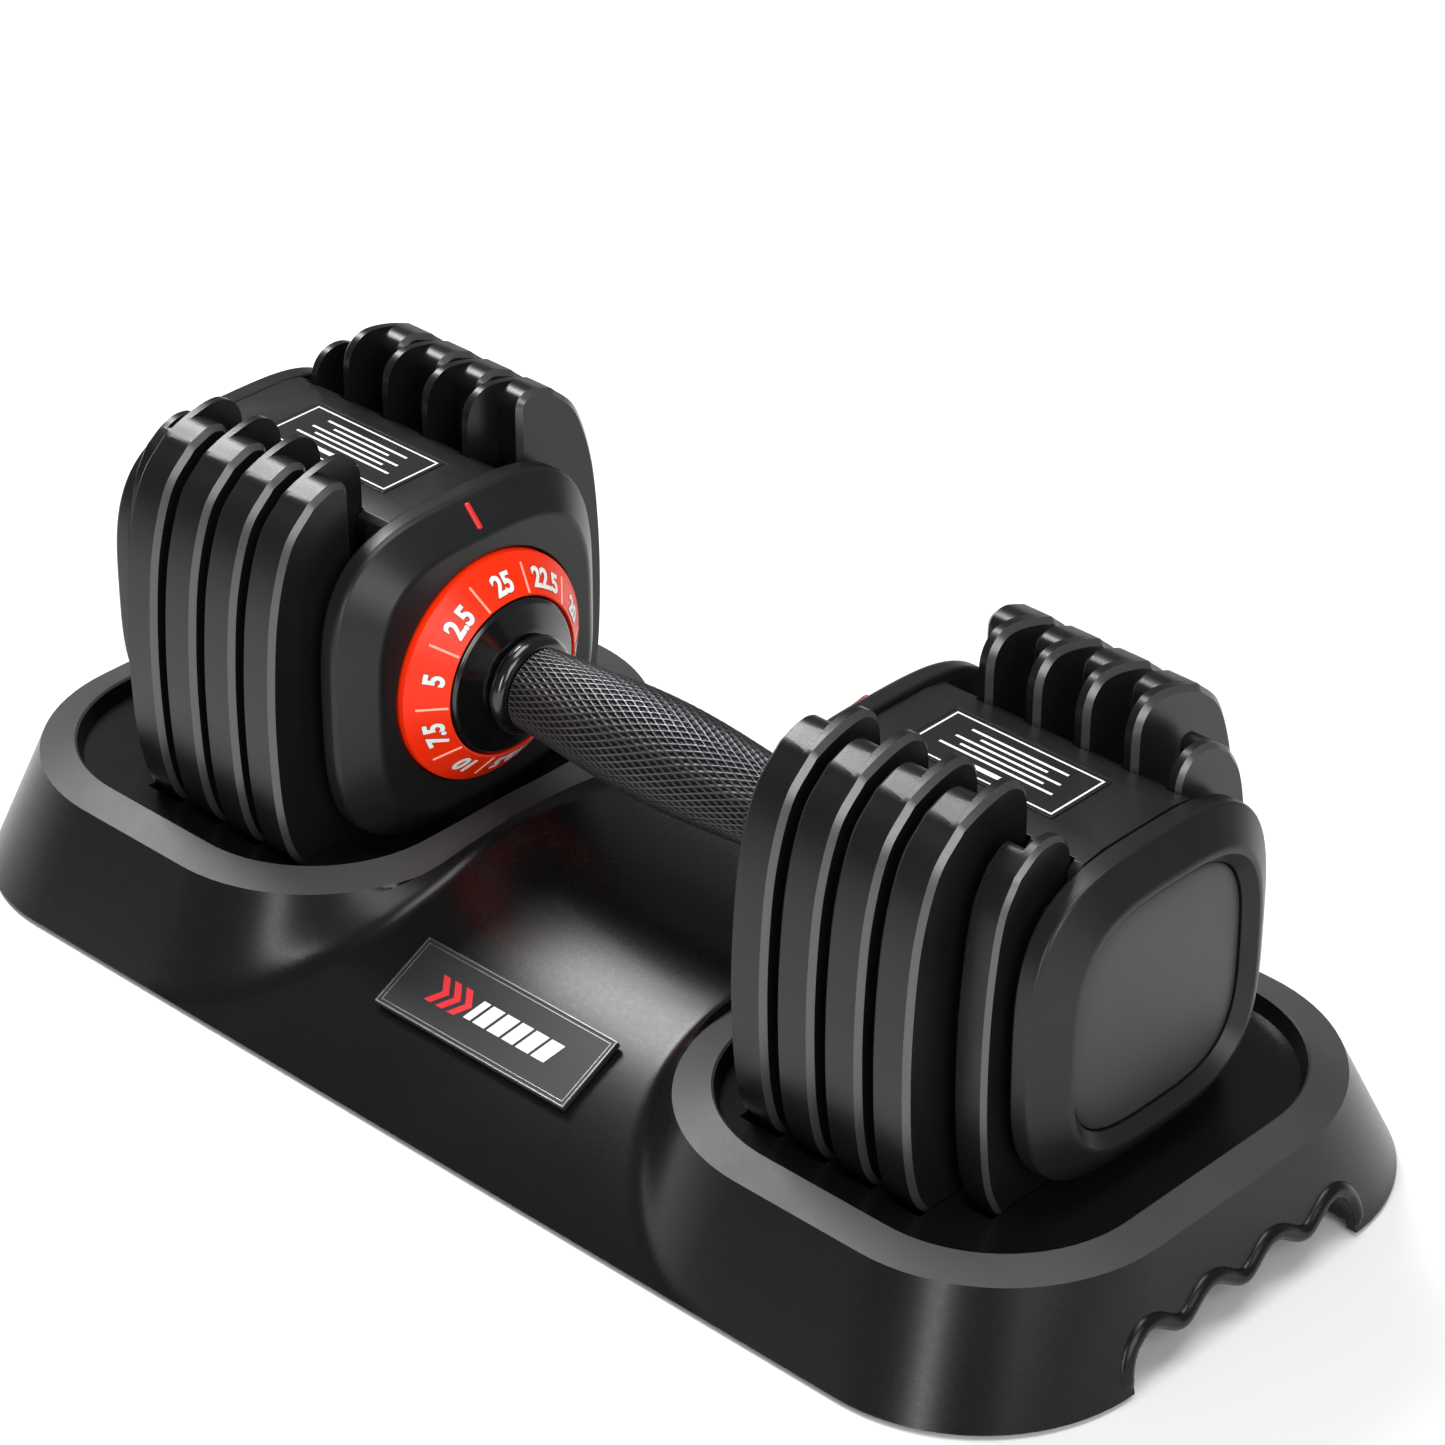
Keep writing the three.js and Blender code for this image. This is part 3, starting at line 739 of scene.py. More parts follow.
# ABS moulded in signal orange with a light gloss.
ORANGE_ABS = Finish(
    "abs_moulded_orange", "#fb2a02", "#f43208", (0.3, 0.4), mirror=0.3, grain_mm=0.9, relief_mm=0.003
)
# The same resin on the dial's fine raised lines, in a pale orange that is a painted highlight on them.
ORANGE_RIDGE_HIGHLIGHT = Finish(
    "abs_moulded_orange_lines",
    "#ffa68c",
    "#ffb099",
    (0.3, 0.4),
    grain_mm=0.9,
    relief_mm=0.002,
)
# Pad-printed inks: white figures and the badge's red. Each figure lies over a slightly larger dark copy, which
# shows as a thin dark rim round it.
WHITE_INK = Finish("ink_printed_white", "#f6f5f2", "#ecebe6", (0.38, 0.48), grain_mm=0.4, relief_mm=0.003)
DARK_FIGURE_RIM = Finish("ink_printed_dark", "#5a1206", "#471006", (0.40, 0.50), grain_mm=0.4, relief_mm=0.003)
RED_INK = Finish("ink_printed_red", "#e3202b", "#d81c27", (0.36, 0.46), grain_mm=0.4, relief_mm=0.003)
# Red nylon insert of the index mark: a clear, satin red.
RED_NYLON = Finish("nylon_moulded_red", "#dd2a24", "#c9231f", (0.34, 0.42), grain_mm=0.5, relief_mm=0.004)
# Polycarbonate hub, polished: deep black with a clear mirror.
GLOSS_HUB = Finish(
    "polycarbonate_polished_black",
    "#08090a",
    "#0c0d0e",
    (0.16, 0.24),
    grain_mm=1.6,
    relief_mm=0.002,
    coat=0.5,
    coat_roughness=0.08,
)
# Blackened knurled steel of the grip, with a painted highlight in grey on the crests of the knurl.
BLACK_STEEL = Finish(
    "steel_blackened_knurled",
    "#17181a",
    "#1e1f21",
    (0.28, 0.38),
    metallic=0.8,
    grain_mm=0.5,
    relief_mm=0.004,
    crest_colour="#7c7d80",
)
# Zinc-plated fasteners, shaft and springs: bright grey with an uneven shine.
ZINC_STEEL = Finish(
    "steel_zinc_plated",
    "#9a9da2",
    "#8b8f96",
    (0.28, 0.42),
    metallic=1.0,
    grain_mm=0.7,
    relief_mm=0.006,
)
# Natural nylon of the inner working pieces: milky and satin.
NATURAL_NYLON = Finish("nylon_natural", "#c3c4bf", "#b8b9b2", (0.42, 0.52), grain_mm=0.8, relief_mm=0.01)
# Moulded rubber of the feet: matt and dark, with a coarse grain.
BLACK_RUBBER = Finish("rubber_moulded", "#171717", "#1e1e1e", (0.72, 0.85), grain_mm=0.5, relief_mm=0.02)
# Printed film of the labels and lacquered aluminium of the badge's field: smooth dark greys.
BLACK_FILM = Finish(
    "polyester_film_black",
    "#151617",
    "#1a1b1d",
    (0.30, 0.38),
    mirror=0.4,
    grain_mm=0.9,
    relief_mm=0.002,
)
BADGE_FIELD = Finish(
    "aluminium_lacquered_grey",
    "#1f2022",
    "#242527",
    (0.34, 0.44),
    mirror=0.4,
    grain_mm=0.6,
    relief_mm=0.006,
)
BRIGHT_RIM = Finish(
    "aluminium_brushed_rim",
    "#8e9092",
    "#7a7c7f",
    (0.26, 0.4),
    metallic=1.0,
    grain_mm=0.5,
    relief_mm=0.006,
    stretch=(0.12, 1, 1),
)
# White paper sweep under the object: even, with no gloss.
PALE_FLOOR = Finish(
    "paper_sweep_white",
    "#f3f3f2",
    "#f1f1f0",
    (0.55, 0.65),
    grain_mm=3,
    relief_mm=0.0,
    patch_mm=400,
)


def dress(piece: Piece, *finishes: Finish) -> None:
    """Gives the piece its finishes, one material slot each.

    Args:
        piece: the piece to dress.
        finishes: the finishes in the order of its material slots.
    """
    while len(piece.data.materials) < len(finishes):
        piece.data.materials.append(None)
    for index, finish in enumerate(finishes):
        piece.data.materials[index] = finish.material()


# ---------------------------------------------------------------- plates


@dataclass
class Plate:
    """A slab plate: a thick layer with a wide slot and a thin layer whose horns reach further in."""

    thick: float = 9.0
    top: float = 68.0
    bottom: float = -59.0
    slot_thick: float = 33.3
    slot_thin: float = 21.0
    chamfer: float = 1.6
    shoulder_reach: float = 7.2
    edge: tuple[Point2, ...] = (
        (48, 64.2),
        (57.5, 54.4),
        (63.6, 37),
        (66.3, 16),
        (67, -8),
        (65.4, -32),
        (60.5, -48),
        (50, -56.6),
        (38, -59),
    )

    def half_outline(self, horn: Sequence[Point2]) -> Outline:
        """Right half: horn first, then the outer edge down to the foot.

        Args:
            horn: points of the horn from the slot outwards, ending where the outer edge starts.

        Returns:
            The half outline about the handle axis.
        """
        return curve_through([*horn, self.edge[0]])[:-1] + curve_through(self.edge)

    def outline(self, slot: float, horn: Sequence[Point2]) -> Outline:
        """Whole outline with its slot.

        Args:
            slot: half of the slot's width.
            horn: points of the right horn.

        Returns:
            The closed outline in the frame's y and z.
        """
        right = self.half_outline(horn)
        left = [(-y, z) for y, z in reversed(right)]
        bottom = arc((0, 0), slot, 180, 360, 24)
        return [(y, z + AXIS) for y, z in [*right, *left, *bottom]]

    def build(self, name: str) -> Piece:
        """Builds the plate where its node stands.

        Args:
            name: node of the frame whose place it takes.

        Returns:
            The finished piece.
        """
        box = Extent.of(name)
        start, end = box.low.x, box.high.x
        middle = start + self.thick
        t, s = self.slot_thick, self.slot_thin
        reach = self.shoulder_reach
        shoulder = (t + reach, self.top - 1.0)
        thick_horn = [
            (t, self.top - 6.5),
            (t + 0.04 * reach, self.top - 4.4),
            (t + 0.18 * reach, self.top - 2.5),
            (t + 0.47 * reach, self.top - 1.35),
            shoulder,
        ]
        thin_horn = [
            (s, self.top - 11),
            (s + 0.5, self.top - 6.2),
            (s + 2.6, self.top - 2.2),
            (s + 6.4, self.top + 0.4),
            (s + 11.5, self.top + 0.75),
            shoulder,
        ]
        body = slab(name + "_shown", self.outline(t, thick_horn), start, middle + 0.6)
        fin = slab("fin", self.outline(s, thin_horn), middle, end)
        combine(body, [fin], "UNION")
        lug = cuboid("lug", (start + 4.2, middle + 1.2), (-5, 5), (AXIS - 25.2, AXIS - s + 0.6))
        combine(body, [lug], "UNION")
        close(body)
        # The chamfer faces take the second slot, whose lighter colour is a painted highlight along the plate's
        # edges.
        dress(body, POWDER_COAT, CHAMFER_PAINTED_HIGHLIGHT)
        chamfer_faces(body, (start, end), self.chamfer)
        bevel(body, 0.2, 2, 35)
        smooth(body, 28)
        return body


@dataclass
class SmallPlate(Plate):
    """The end plate: narrower, with shorter horns."""

    thick: float = 7.2
    top: float = 58.0
    chamfer: float = 1.3
    shoulder_reach: float = 4.0
    edge: tuple[Point2, ...] = (
        (43.0, 53.0),
        (48.6, 43),
        (51.8, 26),
        (53.4, 4),
        (53.0, -22),
        (50.0, -42),
        (42, -55.4),
        (31, -59),
    )


# ---------------------------------------------------------------- heads


@dataclass
class InnerCover:
    """Rounded-square cover towards the handle, with the dial's opening."""

    face_half: float = 42.3
    bevel_run: float = 9.2
    wall: float = 3.0

    def build(self) -> Piece:
        """Builds the right cover.

        Returns:
            The finished piece.
        """
        box = Extent.of("inner_cover_right")
        dial = Extent.of("dial_right")
        front, back, half = box.low.x, box.high.x, box.size.y / 2
        shoulder = front + self.bevel_run
        cover = loft(
            "inner_cover_right_shown",
            squircle(half),
            [(front, self.face_half / half), (shoulder, 1), (back, 1)],
        )
        bevel(cover, 1.3, 4, 25)
        room = half - 8
        cavity = loft(
            "cavity",
            squircle(room),
            [(front + self.wall, (self.face_half - 3.5) / room), (shoulder + 1, 1), (back + 1, 1)],
        )
        radius = dial.size.y / 2 + 0.5
        mouth = spun(
            "mouth",
            [
                (front - 1, 0.5),
                (front - 1, radius + 1.4),
                (front + 0.6, radius),
                (front + 5, radius),
                (front + 5, 0.5),
            ],
        )
        slot = cuboid("slot", (front + 6.1, front + 10.5), (-7.4, 7.4), (AXIS - half - 2, AXIS - half + 12))
        combine(cover, [cavity, mouth, slot])
        close(cover)
        dress(cover, SATIN_NYLON)
        smooth(cover, 30)
        return cover


@dataclass
class IndexMark:
    """Red bar let into the inner cover's bevel, over the dial's top number."""

    length: float = 8.6
    width: float = 1.9
    height: float = 1.5

    def build(self) -> Piece:
        """Builds the right mark.

        Returns:
            The finished piece.
        """
        box = Extent.of("index_mark_right")
        centre = box.centre
        half_length, half_width, half_height = self.length / 2, self.width / 2, self.height / 2
        bar = cuboid(
            "index_mark_right_shown",
            (-half_length, half_length),
            (-half_width, half_width),
            (-half_height, half_height),
        )
        apply(bar, "BEVEL", width=self.width * 0.46 * MM, segments=4, limit_method="NONE")
        slope = math.atan2(box.size.z - self.width, box.size.x - self.width)
        bar.data.transform(Matrix.Translation(centre * MM) @ Matrix.Rotation(-slope, 4, "Y"))
        close(bar)
        dress(bar, RED_NYLON)
        smooth(bar, 40)
        return bar


@dataclass
class EndCover:
    """Outer cover: straight side, broad bevel, a ridge and a sunk grey panel."""

    lift: float = 2.0
    side: float = 6.2
    ridge_half: float = 39.0
    panel_half: float = 34.0
    panel_depth: float = 3.7
    crown: float = 1.3

    def build(self) -> Piece:
        """Builds the right cover.

        Returns:
            The finished piece.
        """
        box = Extent.of("end_cover_right")
        start, ridge, half = box.low.x, box.high.x, box.size.y / 2
        cover = loft(
            "end_cover_right_shown",
            squircle(half, self.lift),
            [
                (start, 1),
                (start + self.side, 1),
                (ridge - 0.7, (self.ridge_half + 0.9) / half),
                (ridge, (self.ridge_half - 0.2) / half),
            ],
            self.lift,
        )
        bevel(cover, 0.9, 4, 20)
        panel_back = ridge - self.panel_depth - 3
        opening = self.panel_half + 0.35
        recess = loft(
            "recess",
            squircle(opening, self.lift),
            [
                (panel_back, 1),
                (ridge - self.panel_depth + 0.3, 1),
                (ridge + 0.6, (self.ridge_half - 0.9) / opening),
            ],
            self.lift,
        )
        nut_section = [(start - 1, 0.5), (start - 1, 13), (start + 5, 13), (start + 5, 0.5)]
        nut_room = spun("nut_room", nut_section, 32)
        combine(cover, [recess, nut_room])
        for side in ("front", "back"):
            combine(cover, [self.screw_room(Extent.of(f"cover_screw_{side}_right"), start, panel_back)])
        close(cover)
        dress(cover, SATIN_NYLON)
        smooth(cover, 24)
        return cover

    def screw_room(self, screw: Extent, start: float, panel_back: float) -> Piece:
        """The stepped hole of one cover screw.

        Args:
            screw: box of the screw.
            start: inner face of the cover.
            panel_back: floor of the panel's recess.

        Returns:
            The cutting piece.
        """
        y, z = screw.centre.y, screw.centre.z
        rooms = []
        for radius, x0, x1 in ((2.3, start - 1, panel_back + 1), (4.4, panel_back - 2.9, panel_back + 1)):
            clear()
            bpy.ops.mesh.primitive_cylinder_add(
                vertices=24,
                radius=radius * MM,
                depth=(x1 - x0) * MM,
                location=((x0 + x1) / 2 * MM, y * MM, z * MM),
                rotation=(0, math.pi / 2, 0),
            )
            bpy.ops.object.transform_apply(location=True, rotation=True, scale=True)
            rooms.append(bpy.context.object)
        combine(rooms[0], [rooms[1]], "UNION")
        return rooms[0]

    def panel(self) -> Piece:
        """Builds the right panel, slightly crowned.

        Returns:
            The finished piece.
        """
        box = Extent.of("end_panel_right")
        back, face = box.low.x, box.high.x
        levels = [(back, 1), (face - 0.6, 1)]
        for k in range(1, 9):
            share = k / 8.5
            rise = 0.6 * min(1, 3 * share) + self.crown * math.sin(share * math.pi / 2)
            levels.append((face - 0.6 + rise, 1 - share**2.2 * 0.97))
        panel = loft("end_panel_right_shown", squircle(self.panel_half, self.lift), levels, self.lift)
        dress(panel, GREY_INSERT)
        smooth(panel, 50)
        return panel


@dataclass
class Bridge:
    """The beam between the covers, taken from its node with its edges rounded."""

    edge: float = 0.7

    def build(self) -> Piece:
        """Builds the right bridge.

        Returns:
            The finished piece.
        """
        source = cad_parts["bridge_right"]
        piece = source.copy()
        piece.data = source.data.copy()
        for key in list(piece.keys()):
            del piece[key]
        piece.parent = None
        piece.matrix_world = Matrix.Identity(4)
        bpy.context.scene.collection.objects.link(piece)
        named(piece, "bridge_right_shown")
        close(piece)
        edit(piece)
        bpy.ops.mesh.dissolve_limited(angle_limit=math.radians(1))
        bpy.ops.object.mode_set(mode="OBJECT")
        bevel(piece, self.edge, 3, 24)
        dress(piece, SATIN_NYLON)
        smooth(piece, 40)
        return piece


@dataclass
class Label:
    """Printed film on the bridge: a white frame with plain bars where text would be."""

    line: float = 0.55
    inset: float = 1.2
    rows: tuple[Point3, ...] = (
        (7.0, 0.42, 1.7),
        (3.4, 0.84, 0.85),
        (0.9, 0.62, 0.85),
        (-1.6, 0.78, 0.85),
        (-4.1, 0.50, 0.85),
        (-6.6, 0.72, 0.85),
    )

    def build(self) -> list[Piece]:
        """Builds the right label's film and its print.

        Returns:
            The film and the print.
        """
        box = Extent.of("label_right")
        x0, x1, y0, y1, top = box.low.x, box.high.x, box.low.y, box.high.y, box.high.z
        film = cuboid("label_right_shown", (x0, x1), (y0, y1), (box.low.z, top))
        bevel(film, 0.12, 2, 30)
        dress(film, BLACK_FILM)
        smooth(film)
        a0, a1, b0, b1 = x0 + self.inset, x1 - self.inset, y0 + self.inset, y1 - self.inset
        height = (top - 0.02, top + 0.05)
        strips = [
            cuboid("strip", (a0, a1), (b0, b0 + self.line), height),
            cuboid("strip", (a0, a1), (b1 - self.line, b1), height),
            cuboid("strip", (a0, a0 + self.line), (b0 + self.line, b1 - self.line), height),
            cuboid("strip", (a1 - self.line, a1), (b0 + self.line, b1 - self.line), height),
        ]
        centre, middle = (a0 + a1) / 2, (y0 + y1) / 2
        reach = (a1 - a0) / 2 - 2.4
        for offset, share, width in self.rows:
            run = (centre - reach * share, centre + reach * share)
            row = middle - offset
            strips.append(cuboid("strip", run, (row - width / 2, row + width / 2), height))
        printed = join("label_print_right", strips)
        dress(printed, WHITE_INK)
        return [film, printed]


# ---------------------------------------------------------------- handle


@dataclass
class Hub:
    """Glossy flared hub with a rounded collar ring against the grip."""

    bore: float = 7.4

    def build(self) -> Piece:
        """Builds the right hub.

        Returns:
            The finished piece.
        """
        box = Extent.of("hub_right")
        start, end = box.low.x, box.high.x
        outer = box.size.y / 2
        collar = arc((start + 3.1, 12.2), 3.15, 180, 0, 18)
        flare = curve_through(
            [
                (start + 6.35, 14.6),
                (start + 6.7, 15.6),
                (start + 7.5, 17.6),
                (start + 8.8, 20.9),
                (start + 9.7, 23.2),
                (start + 10.15, outer - 0.5),
            ],
            0.6,
        )
        section = [
            (start, self.bore),
            *collar,
            *flare,
            (start + 10.5, outer),
            (end, outer),
            (end, self.bore),
        ]
        hub = spun("hub_right_shown", section, 120)
        dress(hub, GLOSS_HUB)
        smooth(hub, 40)
        return hub


@dataclass
class Dial:
    """Orange ring with ten numbered sectors, sloping away from the handle."""

    inner: float = 24.6
    face_outer: float = 33.2
    slope_run: float = 6.6
    rim_run: float = 2.0
    numbers: tuple[str, ...] = ("25", "22.5", "20", "17.5", "15", "12.5", "10", "7.5", "5", "2.5")
    digit_height: float = 6.3
    squeeze: float = 0.84

    def __post_init__(self) -> None:
        """Reads the dial's place from the frame."""
        box = Extent.of("dial_right")
        self.start = box.low.x
        self.end = box.high.x
        self.outer = box.size.y / 2
        run, rise = self.slope_run, self.face_outer - self.inner - 0.6
        length = math.hypot(run, rise)
        self.along = (run / length, rise / length)

    def on_slope(self, turn: float, radius: float, lift: float, side: Side) -> Point3:
        """A point over the sloping face.

        Args:
            turn: angle in radians from the top towards +Y.
            radius: distance from the handle axis at the face.
            lift: height over the face.
            side: the head.

        Returns:
            The place in millimetres.
        """
        x = self.start + (radius - self.inner - 0.6) * self.along[0] / self.along[1] - lift * self.along[1]
        r = radius + lift * self.along[0]
        return (side.value * x, r * math.sin(turn), AXIS + r * math.cos(turn))

    def ring(self) -> Piece:
        """Builds the right ring.

        Returns:
            The finished piece.
        """
        slope_end = self.start + self.slope_run
        rim = slope_end + self.rim_run
        section = [
            (self.start + 0.5, self.inner),
            (self.start + 0.12, self.inner + 0.22),
            (self.start, self.inner + 0.6),
            (slope_end - 0.3, self.face_outer - 0.36),
            (slope_end, self.face_outer),
            (slope_end + 0.25, self.face_outer + 0.4),
            (rim - 0.5, self.outer - 0.5),
            (rim - 0.15, self.outer - 0.12),
            (rim + 0.4, self.outer),
            (self.end, self.outer),
            (self.end, self.inner),
        ]
        made = spun("dial_right_shown", section, 180)
        dress(made, ORANGE_ABS)
        smooth(made, 30)
        return made

    def ridges(self) -> Piece:
        """Builds the right dial's thin raised lines between its sectors.

        Returns:
            The finished piece.
        """
        made = []
        for k in range(len(self.numbers)):
            turn = math.tau * (k + 0.5) / len(self.numbers)
            low, high = self.inner + 0.9, self.face_outer - 0.4
            corners = []
            for radius in (low, high):
                for lift, half in ((-0.1, 0.46), (0.24, 0.2), (0.24, -0.2), (-0.1, -0.46)):
                    corners.append(self.on_slope(turn + half / radius, radius, lift, Side.RIGHT))
            made.append(self.bar(corners))
        ridge = join("dial_ridges_right", made)
        # The lines' pale orange is a painted highlight.
        dress(ridge, ORANGE_RIDGE_HIGHLIGHT)
        smooth(ridge)
        return ridge

    def bar(self, corners: Sequence[Point3]) -> Piece:
        """A small block between eight corners.

        Args:
            corners: its corners, four at each end.

        Returns:
            The block.
        """
        clear()
        bpy.ops.mesh.primitive_cylinder_add(vertices=4, radius=1, depth=1)
        piece = named(bpy.context.object, "bar")
        order = sorted(piece.data.vertices, key=lambda v: (v.co.z > 0, math.atan2(v.co.y, v.co.x)))
        for vertex, place in zip(order, corners):
            vertex.co = Vector(place) * MM
        close(piece)
        return piece

    def numeral(self, text: str, index: int, side: Side, grow: float, lift: float, thick: float) -> Piece:
        """One number wrapped onto the sloping face.

        Args:
            text: the number.
            index: its place, counted from the top towards +Y.
            side: the head.
            grow: how much the strokes are fattened, in millimetres.
            lift: height of its back over the face.
            thick: thickness of the print.

        Returns:
            The number as a closed mesh.
        """
        clear()
        bpy.ops.object.text_add()
        words = bpy.context.object
        words.data.body = text
        words.data.size = self.digit_height / 0.73
        words.data.offset = grow
        words.data.extrude = thick / 2
        words.data.resolution_u = 6
        words.data.align_x = "CENTER"
        bpy.ops.object.convert(target="MESH")
        piece = named(bpy.context.object, "number")
        places = np.array([v.co for v in piece.data.vertices])
        middle = (places.min(0) + places.max(0)) / 2
        centre_radius = (self.inner + self.face_outer) / 2 + 0.4
        for vertex, place in zip(piece.data.vertices, places - middle):
            across = place[0] * self.squeeze * -side.value
            radius = centre_radius + place[1] * self.along[1]
            turn = math.tau * index / len(self.numbers) + across / centre_radius
            vertex.co = Vector(self.on_slope(turn, radius, lift + thick / 2 + place[2], side)) * MM
        close(piece)
        return piece

    def numerals(self, side: Side) -> list[Piece]:
        """Builds the numbers of one head and the dark outline under them.

        Args:
            side: the head.

        Returns:
            The white numbers and their outline.
        """
        white = [self.numeral(t, k, side, 0.32, 0.05, 0.16) for k, t in enumerate(self.numbers)]
        dark = [self.numeral(t, k, side, 0.5, 0.0, 0.1) for k, t in enumerate(self.numbers)]
        numbers = join(f"dial_numbers_{side.tag}", white)
        outline = join(f"dial_number_outlines_{side.tag}", dark)
        dress(numbers, WHITE_INK)
        dress(outline, DARK_FIGURE_RIM)
        return [numbers, outline]


@dataclass
class Grip:
    """Barrel-shaped steel grip with a diamond knurl cut into it."""

    middle_radius: float = 15.7
    end_radius: float = 12.7
    bore: float = 7.4
    diamonds_round: int = 42
    diamond_length: float = 5.0
    depth: float = 0.55
    ridge: float = 0.5
    rings: int = 228
    columns_per_diamond: int = 10

    def radius_at(self, x: float, half: float) -> float:
        """Radius of the diamonds' tops at a place along the handle.

        Args:
            x: place along the handle.
            half: half of the grip's length.

        Returns:
            The radius in millimetres.
        """
        swell = max(0.0, math.cos(math.pi * x / (2 * half))) ** 1.4
        return self.end_radius + (self.middle_radius - self.end_radius) * swell

    def relief(self, turn: float, x: float) -> float:
        """Depth of the knurl below the diamonds' tops.

        Args:
            turn: share of a full turn, from 0 to 1.
            x: place along the handle.

        Returns:
            The depth in millimetres.
        """
        a = turn * self.diamonds_round + x / self.diamond_length
        b = turn * self.diamonds_round - x / self.diamond_length
        near = min(abs(a - round(a)), abs(b - round(b)))
        share = min(1.0, near / self.ridge)
        return self.depth * (1 - (1 - share) ** 2)

    def build(self) -> Piece:
        """Builds the grip.

        Returns:
            The finished piece.
        """
        box = Extent.of("grip")
        half = box.size.x / 2
        rows = [(-half, self.bore, 0.0), (-half, self.end_radius - 1.2, 0.0)]
        for k in range(self.rings + 1):
            x = -half + 0.2 + (2 * half - 0.4) * k / self.rings
            rows.append((x, self.radius_at(x, half), 1.0))
        rows += [(half, self.end_radius - 1.2, 0.0), (half, self.bore, 0.0), (-half, self.bore, 0.0)]
        columns = self.diamonds_round * self.columns_per_diamond

        def place(column: int, row: int) -> Point3:
            """Place of one point of the grip's mesh.

            Args:
                column: step round the grip.
                row: step along it.

            Returns:
                The place in millimetres.
            """
            x, radius, cut = rows[row]
            share = (column % columns) / columns
            r = radius - cut * self.relief(share, x)
            return (x, r * math.sin(math.tau * share), AXIS + r * math.cos(math.tau * share))

        grip = woven("grip_shown", columns, len(rows) - 1, place)
        # Mask of the painted highlight: full on the knurl's crests, fading out down the grooves, and none at
        # the ends.
        crest = grip.data.attributes.new("crest", "FLOAT", "POINT")
        for vertex in grip.data.vertices:
            x, y, z = vertex.co / MM
            under = (self.radius_at(x, half) - math.hypot(y, z - AXIS)) / self.depth
            crest.data[vertex.index].value = max(0.0, 1 - under * 2.2) if abs(x) < half - 0.1 else 0.0
        dress(grip, BLACK_STEEL)
        smooth(grip, 60)
        return grip


# ---------------------------------------------------------------- tray


